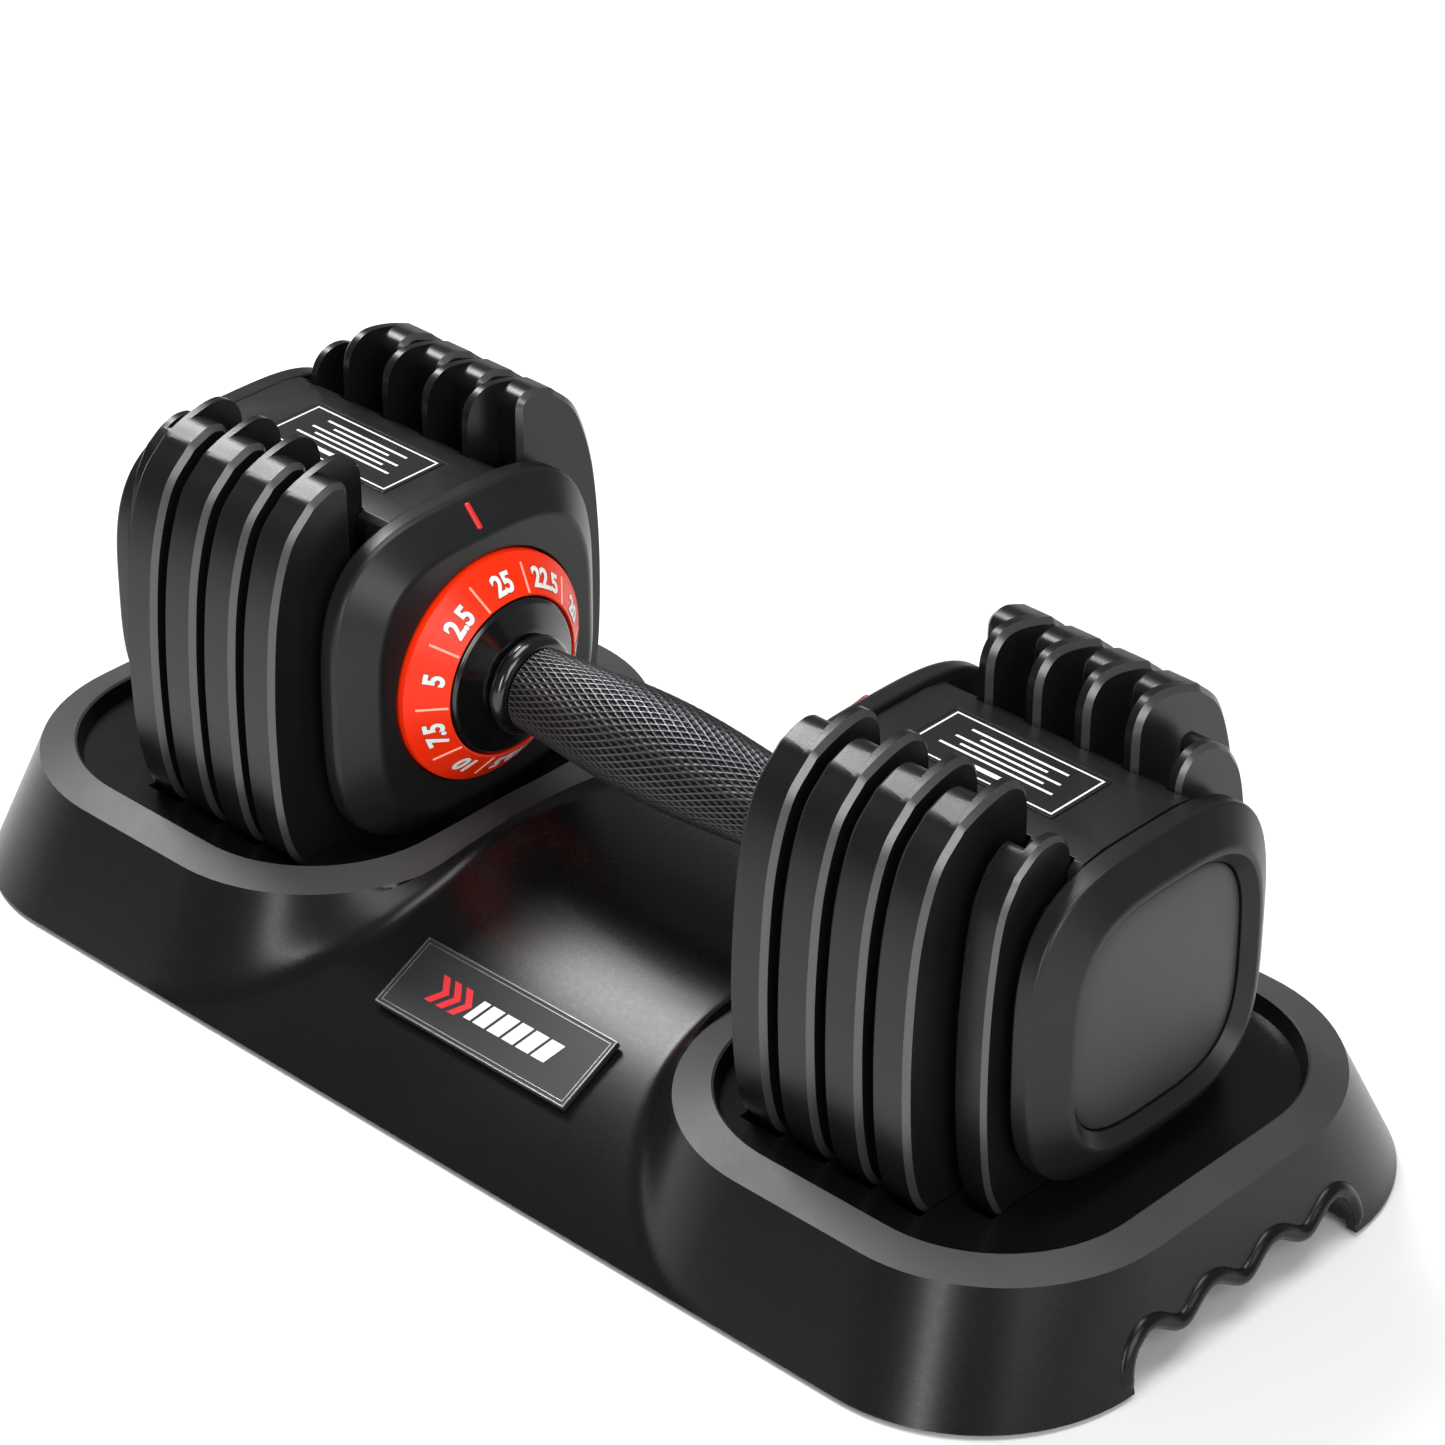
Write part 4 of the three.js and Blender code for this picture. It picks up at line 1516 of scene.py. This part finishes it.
@dataclass
class TrayForm:
    """Shape of the tray's skin, or of the hollow under it when drop is over zero."""

    drop: float = 0.0
    foot: float = 1.5
    half_length: float = 216.0
    half_width: float = 101.8
    corner: float = 55.0
    rim_end: float = 208.8
    rim_half_width: float = 86.0
    rim_outer: float = 36.5
    rim_inner: float = 39.5
    band: float = 11.0
    rim_start: float = 55.2
    floor: float = 34.0
    saddle_top: float = 39.5
    blend: float = 17.0
    spans: tuple[int, ...] = (8, 16, 26, 10, 20, 8)

    def __post_init__(self) -> None:
        """Works out the two plan outlines, matched point by point."""
        self.centre = (self.rim_end + self.rim_start) / 2
        self.half_x = (self.rim_end - self.rim_start) / 2 - self.drop
        self.half_y = self.rim_half_width - self.drop
        self.radius = self.corner - self.drop
        self.rim_top = self.rim_outer if self.drop == 0 else self.floor - self.drop
        inner_x, outer_x = self.centre - self.half_x, self.centre + self.half_x
        flat_y = self.half_y - self.radius
        foot_x, foot_y = self.half_length - self.drop, self.half_width - self.drop
        turn_x, turn_y = foot_x - self.radius, foot_y - self.radius
        near = (inner_x + self.radius, -flat_y)
        far = (outer_x - self.radius, -flat_y)
        n = self.spans
        rim = self.line((inner_x, 0), (inner_x, -flat_y), n[0])
        rim += arc(near, self.radius, 180, 225, n[1])[:-1]
        rim += arc(near, self.radius, 225, 270, n[2])[:-1]
        rim += self.line((near[0], -self.half_y), (far[0], -self.half_y), n[3])
        rim += arc(far, self.radius, 270, 360, n[4])[:-1]
        rim += self.line((outer_x, -flat_y), (outer_x, 0), n[5])
        foot = self.line((0, 0), (0, -46), n[0])
        foot += self.line((0, -46), (0, -foot_y), n[1])
        foot += self.line((0, -foot_y), (near[0] - 10, -foot_y), n[2])
        foot += self.line((near[0] - 10, -foot_y), (turn_x, -foot_y), n[3])
        foot += arc((turn_x, -turn_y), self.radius, 270, 360, n[4])[:-1]
        foot += self.line((foot_x, -turn_y), (foot_x, 0), n[5])
        self.rim_plan = rim + [(outer_x, 0)] + [(x, -y) for x, y in reversed(rim[1:])]
        self.foot_plan = foot + [(foot_x, 0)] + [(x, -y) for x, y in reversed(foot[1:])]

    @staticmethod
    def line(a: Point2, b: Point2, count: int) -> Outline:
        """Points from a to b, without b."""
        return [(a[0] + (b[0] - a[0]) * k / count, a[1] + (b[1] - a[1]) * k / count) for k in range(count)]

    def saddle(self, y: float) -> float:
        """Height of the saddle at a place across the tray."""
        share = min(1.0, abs(y) / self.half_width)
        return self.foot + (self.saddle_top - self.foot) * (1 - share * share) - self.drop

    def wall(self, x: float, y: float) -> float:
        """Height of the raised end's wall at a point outside its rim.

        Args:
            x: place along the tray.
            y: place across it.

        Returns:
            The height in millimetres.
        """
        qx = abs(x - self.centre) - (self.half_x - self.radius)
        qy = abs(y) - (self.half_y - self.radius)
        px, py = max(qx, 0.0), max(qy, 0.0)
        away = math.hypot(px, py)
        out = away - self.radius
        if away < 1e-6:
            return self.rim_top
        run_x = self.half_length - self.rim_end if x > self.centre else 10.2
        run_y = self.half_width - self.rim_half_width
        run = math.hypot(px / away * run_x, py / away * run_y)
        return self.rim_top - (self.rim_top - self.foot) * out / run

    def height(self, x: float, y: float, along: float) -> float:
        """Height of the skin outside the rim.

        Args:
            x: place along the tray.
            y: place across it.
            along: share of the way from the rim to the foot.

        Returns:
            The height in millimetres.
        """
        straight = self.rim_top + (self.foot - self.rim_top) * along
        share = min(1.0, max(0.0, (x - 105) / 30))
        if share >= 1:
            return straight
        reach = self.blend * min(1.0, max(0.0, (self.half_width - abs(y)) / 45)) + 0.01
        blended = self.softer(self.wall(x, y), self.saddle(y), reach)
        return blended + (straight - blended) * share

    @staticmethod
    def softer(a: float, b: float, reach: float) -> float:
        """The greater of two heights, rounded where they meet."""
        near = max(0.0, reach - abs(a - b)) / reach
        return max(a, b) + near * near * reach / 4


@dataclass
class Tray:
    """Moulded tray: a saddle between two raised ends with rims painted a lighter grey as a sheen, plate wells
    and hand cut-outs.
    """

    skin: float = 3.2
    wave: float = 26.0
    cut_half: float = 47.0
    boss_half: float = 10.5
    foot_socket: Point2 = (8.3, 9.6)
    rest_gap: float = 0.3
    slot_gap: float = 0.7
    ledge_half: float = 40.0
    slot_half: float = 61.5
    small_slot_half: float = 49.5
    rib_place: float = 36.0
    rib_half: float = 1.3
    above: float = 60.0
    foot_places: tuple[Point2, ...] = ((172, 78), (172, -78))
    form: TrayForm = field(default_factory=TrayForm)

    def rows(self, form: TrayForm, column: int) -> list[Point3]:
        """Points of one line down the skin, from the well's edge to the foot.

        Args:
            form: the shape.
            column: which line.

        Returns:
            The places in millimetres.
        """
        rx, ry = form.rim_plan[column % len(form.rim_plan)]
        fx, fy = form.foot_plan[column % len(form.foot_plan)]
        out: list[Point3] = []
        if form.drop == 0:
            out += self.band_rows(form, rx, ry)
        count = 26
        for k in range(count + 1):
            along = (k / count) ** 1.25
            x, y = rx + (fx - rx) * along, ry + (fy - ry) * along
            z = form.height(x, y, along)
            if k == count and fx > 0:
                z = form.foot
            if k == 0:
                z = self.band_height(form, rx, ry, 0) if form.drop == 0 else form.rim_top
            out.append((x, y, max(z, form.foot if form.drop == 0 else -4.0)))
        if form.drop > 0:
            out.append((fx, fy, -5.0 if fx > 0 else out[-1][2]))
        return out

    def band_height(self, form: TrayForm, x: float, y: float, share: float) -> float:
        """Height of the tilted band, or of the saddle where that is higher.

        Args:
            form: the shape.
            x: place along the tray.
            y: place across it.
            share: share of the way from the band's outer to its inner edge.

        Returns:
            The height in millimetres.
        """
        band = form.rim_outer + (form.rim_inner - form.rim_outer) * share
        if x > form.centre:
            return band
        return form.softer(band, min(form.saddle(y), form.rim_inner), 1.2)

    def band_rows(self, form: TrayForm, rx: float, ry: float) -> list[Point3]:
        """Points across the pocket's wall and the tilted band.

        Args:
            form: the shape.
            rx: place of the rim's point along the tray.
            ry: its place across.

        Returns:
            The places in millimetres, from the pocket's floor outwards.
        """
        inner_x, inner_y = self.towards(form, rx, ry, form.band)
        low_x, low_y = self.towards(form, rx, ry, form.band + 2)
        out = [(low_x, low_y, form.floor)]
        out.append((low_x + (inner_x - low_x) * 0.5, low_y + (inner_y - low_y) * 0.5, form.floor + 2.7))
        top = self.band_height(form, inner_x, inner_y, 1)
        out.append((inner_x + (low_x - inner_x) * 0.12, inner_y + (low_y - inner_y) * 0.12, top - 0.7))
        for share in (0.96, 0.8, 0.6, 0.4, 0.2, 0.05):
            x, y = rx + (inner_x - rx) * share, ry + (inner_y - ry) * share
            out.append((x, y, self.band_height(form, x, y, share)))
        return out

    @staticmethod
    def towards(form: TrayForm, x: float, y: float, distance: float) -> Point2:
        """A rim point moved inwards, square to the rim.

        Args:
            form: the shape.
            x: place of the point along the tray.
            y: its place across.
            distance: how far it moves.

        Returns:
            The new place.
        """
        core_x = max(form.centre - form.half_x + form.radius, min(form.centre + form.half_x - form.radius, x))
        flat = form.half_y - form.radius
        core_y = max(-flat, min(flat, y))
        away = Vector((x - core_x, y - core_y))
        away.normalize()
        return (x - away.x * distance, y - away.y * distance)

    def half(self, name: str, form: TrayForm) -> Piece:
        """The skin of the right half, its middle filled and its foot open.

        Args:
            name: name of the new piece.
            form: the shape.

        Returns:
            The half skin.
        """
        lines = [self.rows(form, c) for c in range(len(form.rim_plan))]
        count = len(lines)
        band = range(2, 9) if form.drop == 0 else range(0)
        piece = woven(name, count, len(lines[0]) - 1, lambda c, r: lines[c % count][r], band)
        edit(piece)
        bpy.ops.mesh.select_all(action="DESELECT")
        bpy.ops.object.mode_set(mode="OBJECT")
        top = [line[0] for line in lines]
        spots = {(round(x, 2), round(y, 2), round(z, 2)) for x, y, z in top}
        for vertex in piece.data.vertices:
            key = tuple(round(c / MM, 2) for c in vertex.co)
            vertex.select = key in spots
        bpy.ops.object.mode_set(mode="EDIT")
        bpy.ops.mesh.select_mode(type="VERT")
        bpy.ops.mesh.edge_face_add()
        bpy.ops.object.mode_set(mode="OBJECT")
        return piece

    def solid(self, name: str, form: TrayForm) -> Piece:
        """The whole closed body of a form: both halves, with a flat underside.

        Args:
            name: name of the new piece.
            form: the shape.

        Returns:
            The closed body.
        """
        right = self.half(name, form)
        left = mirrored(right, name + "_left")
        whole = join(name, [right, left])
        close(whole, 0.02)
        select_open_edges(whole)
        bpy.ops.mesh.edge_face_add()
        bpy.ops.mesh.select_all(action="SELECT")
        bpy.ops.mesh.dissolve_degenerate(threshold=0.02 * MM)
        close(whole, 0.02)
        return whole

    def wells(self) -> list[Piece]:
        """Cutting blocks for the right end's wells, with ribs left between the slots.

        Returns:
            The blocks.
        """
        cover, first = Extent.of("inner_cover_right"), Extent.of("plate_1_right")
        small = Extent.of("plate_small_right")
        ledge = (cover.low.z - self.rest_gap, self.above)
        deep = (first.low.z - self.rest_gap, self.above)
        run = (cover.low.x - 1.2, first.low.x - 0.2)
        blocks = [cuboid("ledge", run, (-self.ledge_half, self.ledge_half), ledge)]
        slots = [(Extent.of(f"plate_{k}_right"), self.slot_half) for k in range(1, 5)]
        slots.append((small, self.small_slot_half))
        for box, half in slots:
            run = (box.low.x - self.slot_gap, box.high.x + self.slot_gap)
            blocks.append(cuboid("slot", run, (-half, half), deep))
        return blocks

    def cut_line(self) -> Outline:
        """The wavy upper edge of the hand cut-out, from one leg to the other.

        Returns:
            The edge in the frame's y and z.
        """
        half = self.cut_half
        leg = [(half, -6), (half, 4), (half - 0.8, 9), (half - 3.2, 13.2)]
        crest = []
        steps = 56
        reach = half - 7
        for k in range(steps + 1):
            y = reach - 2 * reach * k / steps
            crest.append((y, 13 - 2.8 * math.cos(math.tau * y / self.wave)))
        return curve_through([*leg, *crest, *[(-y, z) for y, z in reversed(leg)]], 1.2)

    def wall_x(self, y: float, z: float) -> float:
        """Place along X of the end wall's outside.

        Args:
            y: place across the tray.
            z: height.

        Returns:
            The place in millimetres.
        """
        form = self.form
        share = min(1.0, (form.rim_outer - z) / (form.rim_outer - form.foot))
        best, best_gap = form.half_length, 1e9
        count = len(form.rim_plan)
        for k in range(count // 4, 3 * count // 4):
            a, b = form.rim_plan[k], form.foot_plan[k]
            gap = abs(a[1] + (b[1] - a[1]) * share - y)
            if gap < best_gap:
                best, best_gap = a[0] + (b[0] - a[0]) * share, gap
        return best

    def trim(self) -> Piece:
        """Rounded bead outside the wavy edge, with the lip that runs inwards from it.

        Returns:
            The right end's trim.
        """
        path = [p for p in self.cut_line() if p[1] > 3.6]
        section = [
            (-9, 0.02),
            (-0.4, 0.02),
            (0.7, 0.25),
            (1.5, 1.0),
            (1.9, 2.1),
            (1.7, 3.2),
            (1.0, 4.1),
            (0.0, 4.6),
            (-2.0, 4.6),
            (-2.6, 2.8),
            (-9, 2.8),
        ]
        lines = []
        for k, (y, z) in enumerate(path):
            before, after = path[max(0, k - 1)], path[min(len(path) - 1, k + 1)]
            run = Vector((after[0] - before[0], after[1] - before[1]))
            run.normalize()
            up = Vector((run.y, -run.x))
            near_end = min(k, len(path) - 1 - k)
            grow = math.sqrt(max(0.0, 1 - (1 - min(1.0, (near_end + 0.3) / 3.0)) ** 2))
            x = self.wall_x(y, z)
            line = []
            for out, rise in section:
                bulge = out * grow if out > 0 else out
                lift = rise * (0.5 + 0.5 * grow)
                line.append((x + bulge - lift * 0.2, y + up.x * lift, z + up.y * lift))
            lines.append(line)
        count = len(section)
        trim = woven("tray_trim_right", len(lines) - 1, count, lambda c, r: lines[c][r % count])
        select_open_edges(trim)
        bpy.ops.mesh.fill_holes(sides=0)
        close(trim)
        dress(trim, TRAY_SHELL)
        smooth(trim, 50)
        return trim

    def build(self) -> Piece:
        """Builds the tray.

        Returns:
            The finished piece.
        """
        body = self.solid("tray_shown", self.form)
        hollow = self.solid("hollow", TrayForm(drop=self.skin))
        first, last = Extent.of("plate_1_right"), Extent.of("plate_4_right")
        small, cover = Extent.of("plate_small_right"), Extent.of("inner_cover_right")
        deep, ledge = first.low.z - self.rest_gap, cover.low.z - self.rest_gap
        for side in Side:
            s = side.value
            keep = [
                ((cover.low.x - 6.6, first.low.x + 1), (-57.7, 57.7), (ledge - self.skin, 70)),
                ((first.low.x - 4, last.high.x + 4), (-71.7, 71.7), (deep - self.skin, 70)),
                ((small.low.x - 2, small.high.x + 7.4), (-58.4, 58.4), (deep - self.skin, 70)),
            ]
            for x, y, z in keep:
                combine(hollow, [cuboid("keep", tuple(sorted((s * x[0], s * x[1]))), y, z)])
            for x, y in self.foot_places:
                half = self.boss_half
                across = (y - half, y + half)
                boss = cuboid("boss", (s * x - half, s * x + half), across, (self.form.foot, self.above))
                bevel(boss, 5, 4, 60)
                combine(hollow, [boss])
        for y in (-self.rib_place, self.rib_place):
            combine(hollow, [cuboid("rib", (-70, 70), (y - self.rib_half, y + self.rib_half), (8, self.above))])
        combine(body, [hollow])
        wells = self.wells()
        wells += [mirrored(w, "well") for w in wells]
        combine(body, wells)
        line = self.cut_line()
        opening = slab("opening", [(y, z) for y, z in line], 186, 232)
        combine(body, [opening, mirrored(opening, "opening_left")])
        for side in Side:
            for x, y in self.foot_places:
                clear()
                bpy.ops.mesh.primitive_cylinder_add(
                    vertices=32,
                    radius=self.foot_socket[0] * MM,
                    depth=self.foot_socket[1] * MM,
                    location=(side.value * x * MM, y * MM, 0),
                )
                bpy.ops.object.transform_apply(location=True)
                combine(body, [bpy.context.object])
        close(body)
        select_open_edges(body)
        bpy.ops.mesh.fill_holes(sides=0)
        bpy.ops.mesh.select_all(action="SELECT")
        bpy.ops.mesh.dissolve_degenerate(threshold=0.002 * MM)
        close(body)
        smooth(body, 26)
        return body


@dataclass
class Badge:
    """Raised name plate on the front slope: bright double rim and a plain chevron and bar pattern."""

    length: float = 75.6
    width: float = 24.8
    thickness: float = 2.0

    def place(self) -> Matrix:
        """Where the badge's top lies, from its node's box.

        Returns:
            The badge's place and tilt.
        """
        box = Extent.of("badge")
        slope = self.slope(box)
        top = Matrix.Translation(box.centre * MM) @ Matrix.Rotation(slope, 4, "X")
        return top @ Matrix.Translation((0, 0, self.thickness / 2 * MM))

    def slope(self, box: Extent) -> float:
        """Tilt of the badge that gives its node's box.

        Args:
            box: the node's box.

        Returns:
            The angle in radians.
        """
        low, high = 0.0, math.radians(60)
        for _ in range(40):
            middle = (low + high) / 2
            tall = self.width * math.sin(middle) + self.thickness * math.cos(middle)
            low, high = (middle, high) if tall < box.size.z else (low, middle)
        return low

    def frame_ring(self, inset: float, line: float, z0: float, z1: float) -> Piece:
        """A flat rectangular ring inside the badge's edge.

        Args:
            inset: distance from the badge's edge.
            line: width of the ring's line.
            z0: height of its underside over the badge's top.
            z1: height of its top.

        Returns:
            The ring.
        """
        a, b = self.length / 2 - inset, self.width / 2 - inset
        outer = cuboid("rim", (-a, a), (-b, b), (z0, z1))
        inner = cuboid("hole", (-a + line, a - line), (-b + line, b - line), (z0 - 1, z1 + 1))
        combine(outer, [inner])
        bevel(outer, 0.12, 2, 40)
        return outer

    def slanted(self, x: float, width: float, low: float, high: float, lean: float, z: Point2) -> Piece:
        """A bar that leans as it rises.

        Args:
            x: left end of its foot.
            width: its width.
            low: place of its foot across the badge.
            high: place of its head.
            lean: how far it leans for each millimetre that it rises.
            z: heights of its underside and top.

        Returns:
            The bar.
        """
        bar = cuboid("bar", (x, x + width), (low, high), z)
        for vertex in bar.data.vertices:
            vertex.co.x += lean * (vertex.co.y - low * MM)
        return bar

    def build(self) -> list[Piece]:
        """Builds the badge and its print.

        Returns:
            The plate, the rims, the white bars and the red chevrons.
        """
        a, b, t = self.length / 2, self.width / 2, self.thickness
        plate = cuboid("badge_shown", (-a, a), (-b, b), (-t, 0))
        bevel(plate, 0.5, 3, 40)
        rims = join(
            "badge_rims",
            [self.frame_ring(0.15, 0.55, -0.25, 0.22), self.frame_ring(1.5, 0.4, -0.1, 0.12)],
        )
        top = (-0.02, 0.1)
        bars = []
        x = -9.5
        for width in (2.6, 4.6, 4.8, 4.4, 5.0, 5.0):
            bars.append(self.slanted(x, width, -3.6, 3.6, 0.32, top))
            x += width + 1.1
        white = join("badge_bars", bars)
        chevrons = []
        for k in range(3):
            x = -24.5 + 4.6 * k
            chevrons.append(self.slanted(x, 2.6, -4.6, 0.0, 0.75, top))
            upper = self.slanted(x, 2.6, 0.0, 4.6, -0.75, top)
            upper.data.transform(Matrix.Translation((0.75 * 4.6 * MM, 0, 0)))
            chevrons.append(upper)
        red = join("badge_chevrons", chevrons)
        made = [plate, rims, white, red]
        for piece, finish in zip(made, (BADGE_FIELD, BRIGHT_RIM, WHITE_INK, RED_INK)):
            piece.data.transform(self.place())
            dress(piece, finish)
            smooth(piece)
        return made


# ---------------------------------------------------------------- assembly


@dataclass
class Head:
    """Covers, bridge, plates, dial and hub of both heads. The left is the right's mirror image."""

    def both(self, piece: Piece, body: str, slot: str, node: str = "") -> None:
        """Settles a right-hand piece and its mirrored copy.

        Args:
            piece: the right-hand piece, named with its side.
            body: the body, with {} where its name holds the side.
            slot: the record's material slot; not used.
            node: the node it replaces, without the side, or nothing.
        """
        left = mirrored(piece, piece.name.replace("right", "left"))
        for made, side in ((piece, Side.RIGHT), (left, Side.LEFT)):
            settle(made, body.format(side.tag), [f"{node}_{side.tag}"] if node else [])

    def build(self) -> None:
        """Builds both heads."""
        first = Plate().build("plate_1_right")
        start = Extent.of("plate_1_right").low.x
        self.both(first, "plate_1_{}", "coated_plate", "plate_1")
        for k in (2, 3, 4):
            shift = Extent.of(f"plate_{k}_right").low.x - start
            plate = shifted(first, f"plate_{k}_right_shown", shift)
            self.both(plate, f"plate_{k}_{{}}", "coated_plate", f"plate_{k}")
        small = SmallPlate().build("plate_small_right")
        self.both(small, "plate_small_{}", "coated_plate", "plate_small")
        self.both(InnerCover().build(), "core", "cover", "inner_cover")
        self.both(IndexMark().build(), "core", "index_red", "index_mark")
        end = EndCover()
        self.both(end.build(), "core", "cover", "end_cover")
        self.both(end.panel(), "core", "end_panel", "end_panel")
        self.both(Bridge().build(), "core", "cover", "bridge")
        film, printed = Label().build()
        self.both(film, "core", "label", "label")
        self.both(printed, "core", "label")
        self.both(Hub().build(), "handle", "hub_gloss", "hub")
        dial = Dial()
        self.both(dial.ring(), "handle", "dial_orange", "dial")
        self.both(dial.ridges(), "handle", "dial_orange")
        for side in Side:
            for piece in dial.numerals(side):
                settle(piece, "handle")


def build_tray() -> None:
    """Builds the tray, its trims and its badge."""
    tray = Tray()
    settle(tray.build(), "tray", ["tray"])
    trim = tray.trim()
    other = mirrored(trim, "tray_trim_left")
    settle(trim, "tray")
    settle(other, "tray")
    plate, *prints = Badge().build()
    settle(plate, "tray", ["badge"])
    for piece in prints:
        settle(piece, "tray")


def dress_inner_pieces() -> None:
    """Gives the nodes that stay as they are their real finishes."""
    finishes = {
        "cover_screw": ZINC_STEEL,
        "lock_spring": ZINC_STEEL,
        "lock_nut": ZINC_STEEL,
        "drive_shaft": ZINC_STEEL,
        "lock_slider": SATIN_NYLON,
        "lock_wheel": NATURAL_NYLON,
        "end_bush": NATURAL_NYLON,
        "selector": NATURAL_NYLON,
        "foot": BLACK_RUBBER,
    }
    for name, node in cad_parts.items():
        for start, finish in finishes.items():
            if name.startswith(start):
                node.data.materials.clear()
                node.data.materials.append(finish.material())


@dataclass
class Studio:
    """Pale floor, soft lights and the camera."""

    target: Point3 = (1.95, 23.05, 84.0)
    azimuth: float = 43.51
    elevation: float = 31.62
    distance: float = 1425.4
    lens: float = 124.85

    def floor(self) -> None:
        """Lays the floor under the feet."""
        clear()
        bpy.ops.mesh.primitive_plane_add(size=8)
        sheet = named(bpy.context.object, "studio_floor")
        edit(sheet)
        bpy.ops.mesh.subdivide(number_cuts=3)
        bpy.ops.object.mode_set(mode="OBJECT")
        dress(sheet, PALE_FLOOR)

    def softbox(self, name: str, place: Point3, size: Point2, power: float) -> None:
        """Hangs one soft light, aimed at the object.

        Args:
            name: name of the light.
            place: its place in metres.
            size: width and height of its face in metres.
            power: its power in watts.
        """
        light = bpy.data.lights.new(name, "AREA")
        light.shape = "RECTANGLE"
        light.size, light.size_y = size
        light.energy = power
        lamp = bpy.data.objects.new(name, light)
        lamp.location = place
        aim = Vector((0, 0, 0.06)) - Vector(place)
        lamp.rotation_euler = aim.to_track_quat("-Z", "Y").to_euler()
        bpy.context.scene.collection.objects.link(lamp)

    def lights(self) -> None:
        """Sets the soft lights and a dim surround."""
        self.softbox("top_softbox", (0.3, 0.1, 1.9), (1.1, 0.9), 20)
        self.softbox("key_softbox", (-1.05, 0.2, 1.4), (0.4, 0.7), 24)
        self.softbox("side_softbox", (1.6, -0.6, 0.95), (1.0, 1.2), 18)
        self.softbox("front_strip", (0.5, -1.5, 0.5), (0.14, 0.8), 7)
        world = bpy.data.worlds.new("studio_surround")
        bpy.context.scene.world = world
        world.use_nodes = True
        background = world.node_tree.nodes["Background"]
        background.inputs["Color"].default_value = (1, 1, 1, 1)
        background.inputs["Strength"].default_value = 0.2

    def camera(self) -> None:
        """Places the camera."""
        a, e = math.radians(self.azimuth), math.radians(self.elevation)
        back = Vector((math.sin(a) * math.cos(e), -math.cos(a) * math.cos(e), math.sin(e)))
        lens = bpy.data.cameras.new("camera")
        lens.lens = self.lens
        lens.sensor_width = 36
        lens.clip_end = 50
        shown = bpy.data.objects.new("camera", lens)
        shown.location = (Vector(self.target) + back * self.distance) * MM
        shown.rotation_euler = back.to_track_quat("Z", "Y").to_euler()
        bpy.context.scene.collection.objects.link(shown)
        bpy.context.scene.camera = shown

    def build(self) -> None:
        """Sets the whole studio."""
        self.floor()
        self.lights()
        self.camera()
        bpy.context.scene.view_settings.view_transform = "Standard"


def main() -> None:
    """Builds every sub-assembly in order."""
    logging.basicConfig(level=logging.INFO, format="%(message)s")
    clear()
    Studio().build()
    dress_inner_pieces()
    build_tray()
    Head().build()
    grip = Grip().build()
    settle(grip, "handle", ["grip"])


if __name__ == "__main__":
    main()
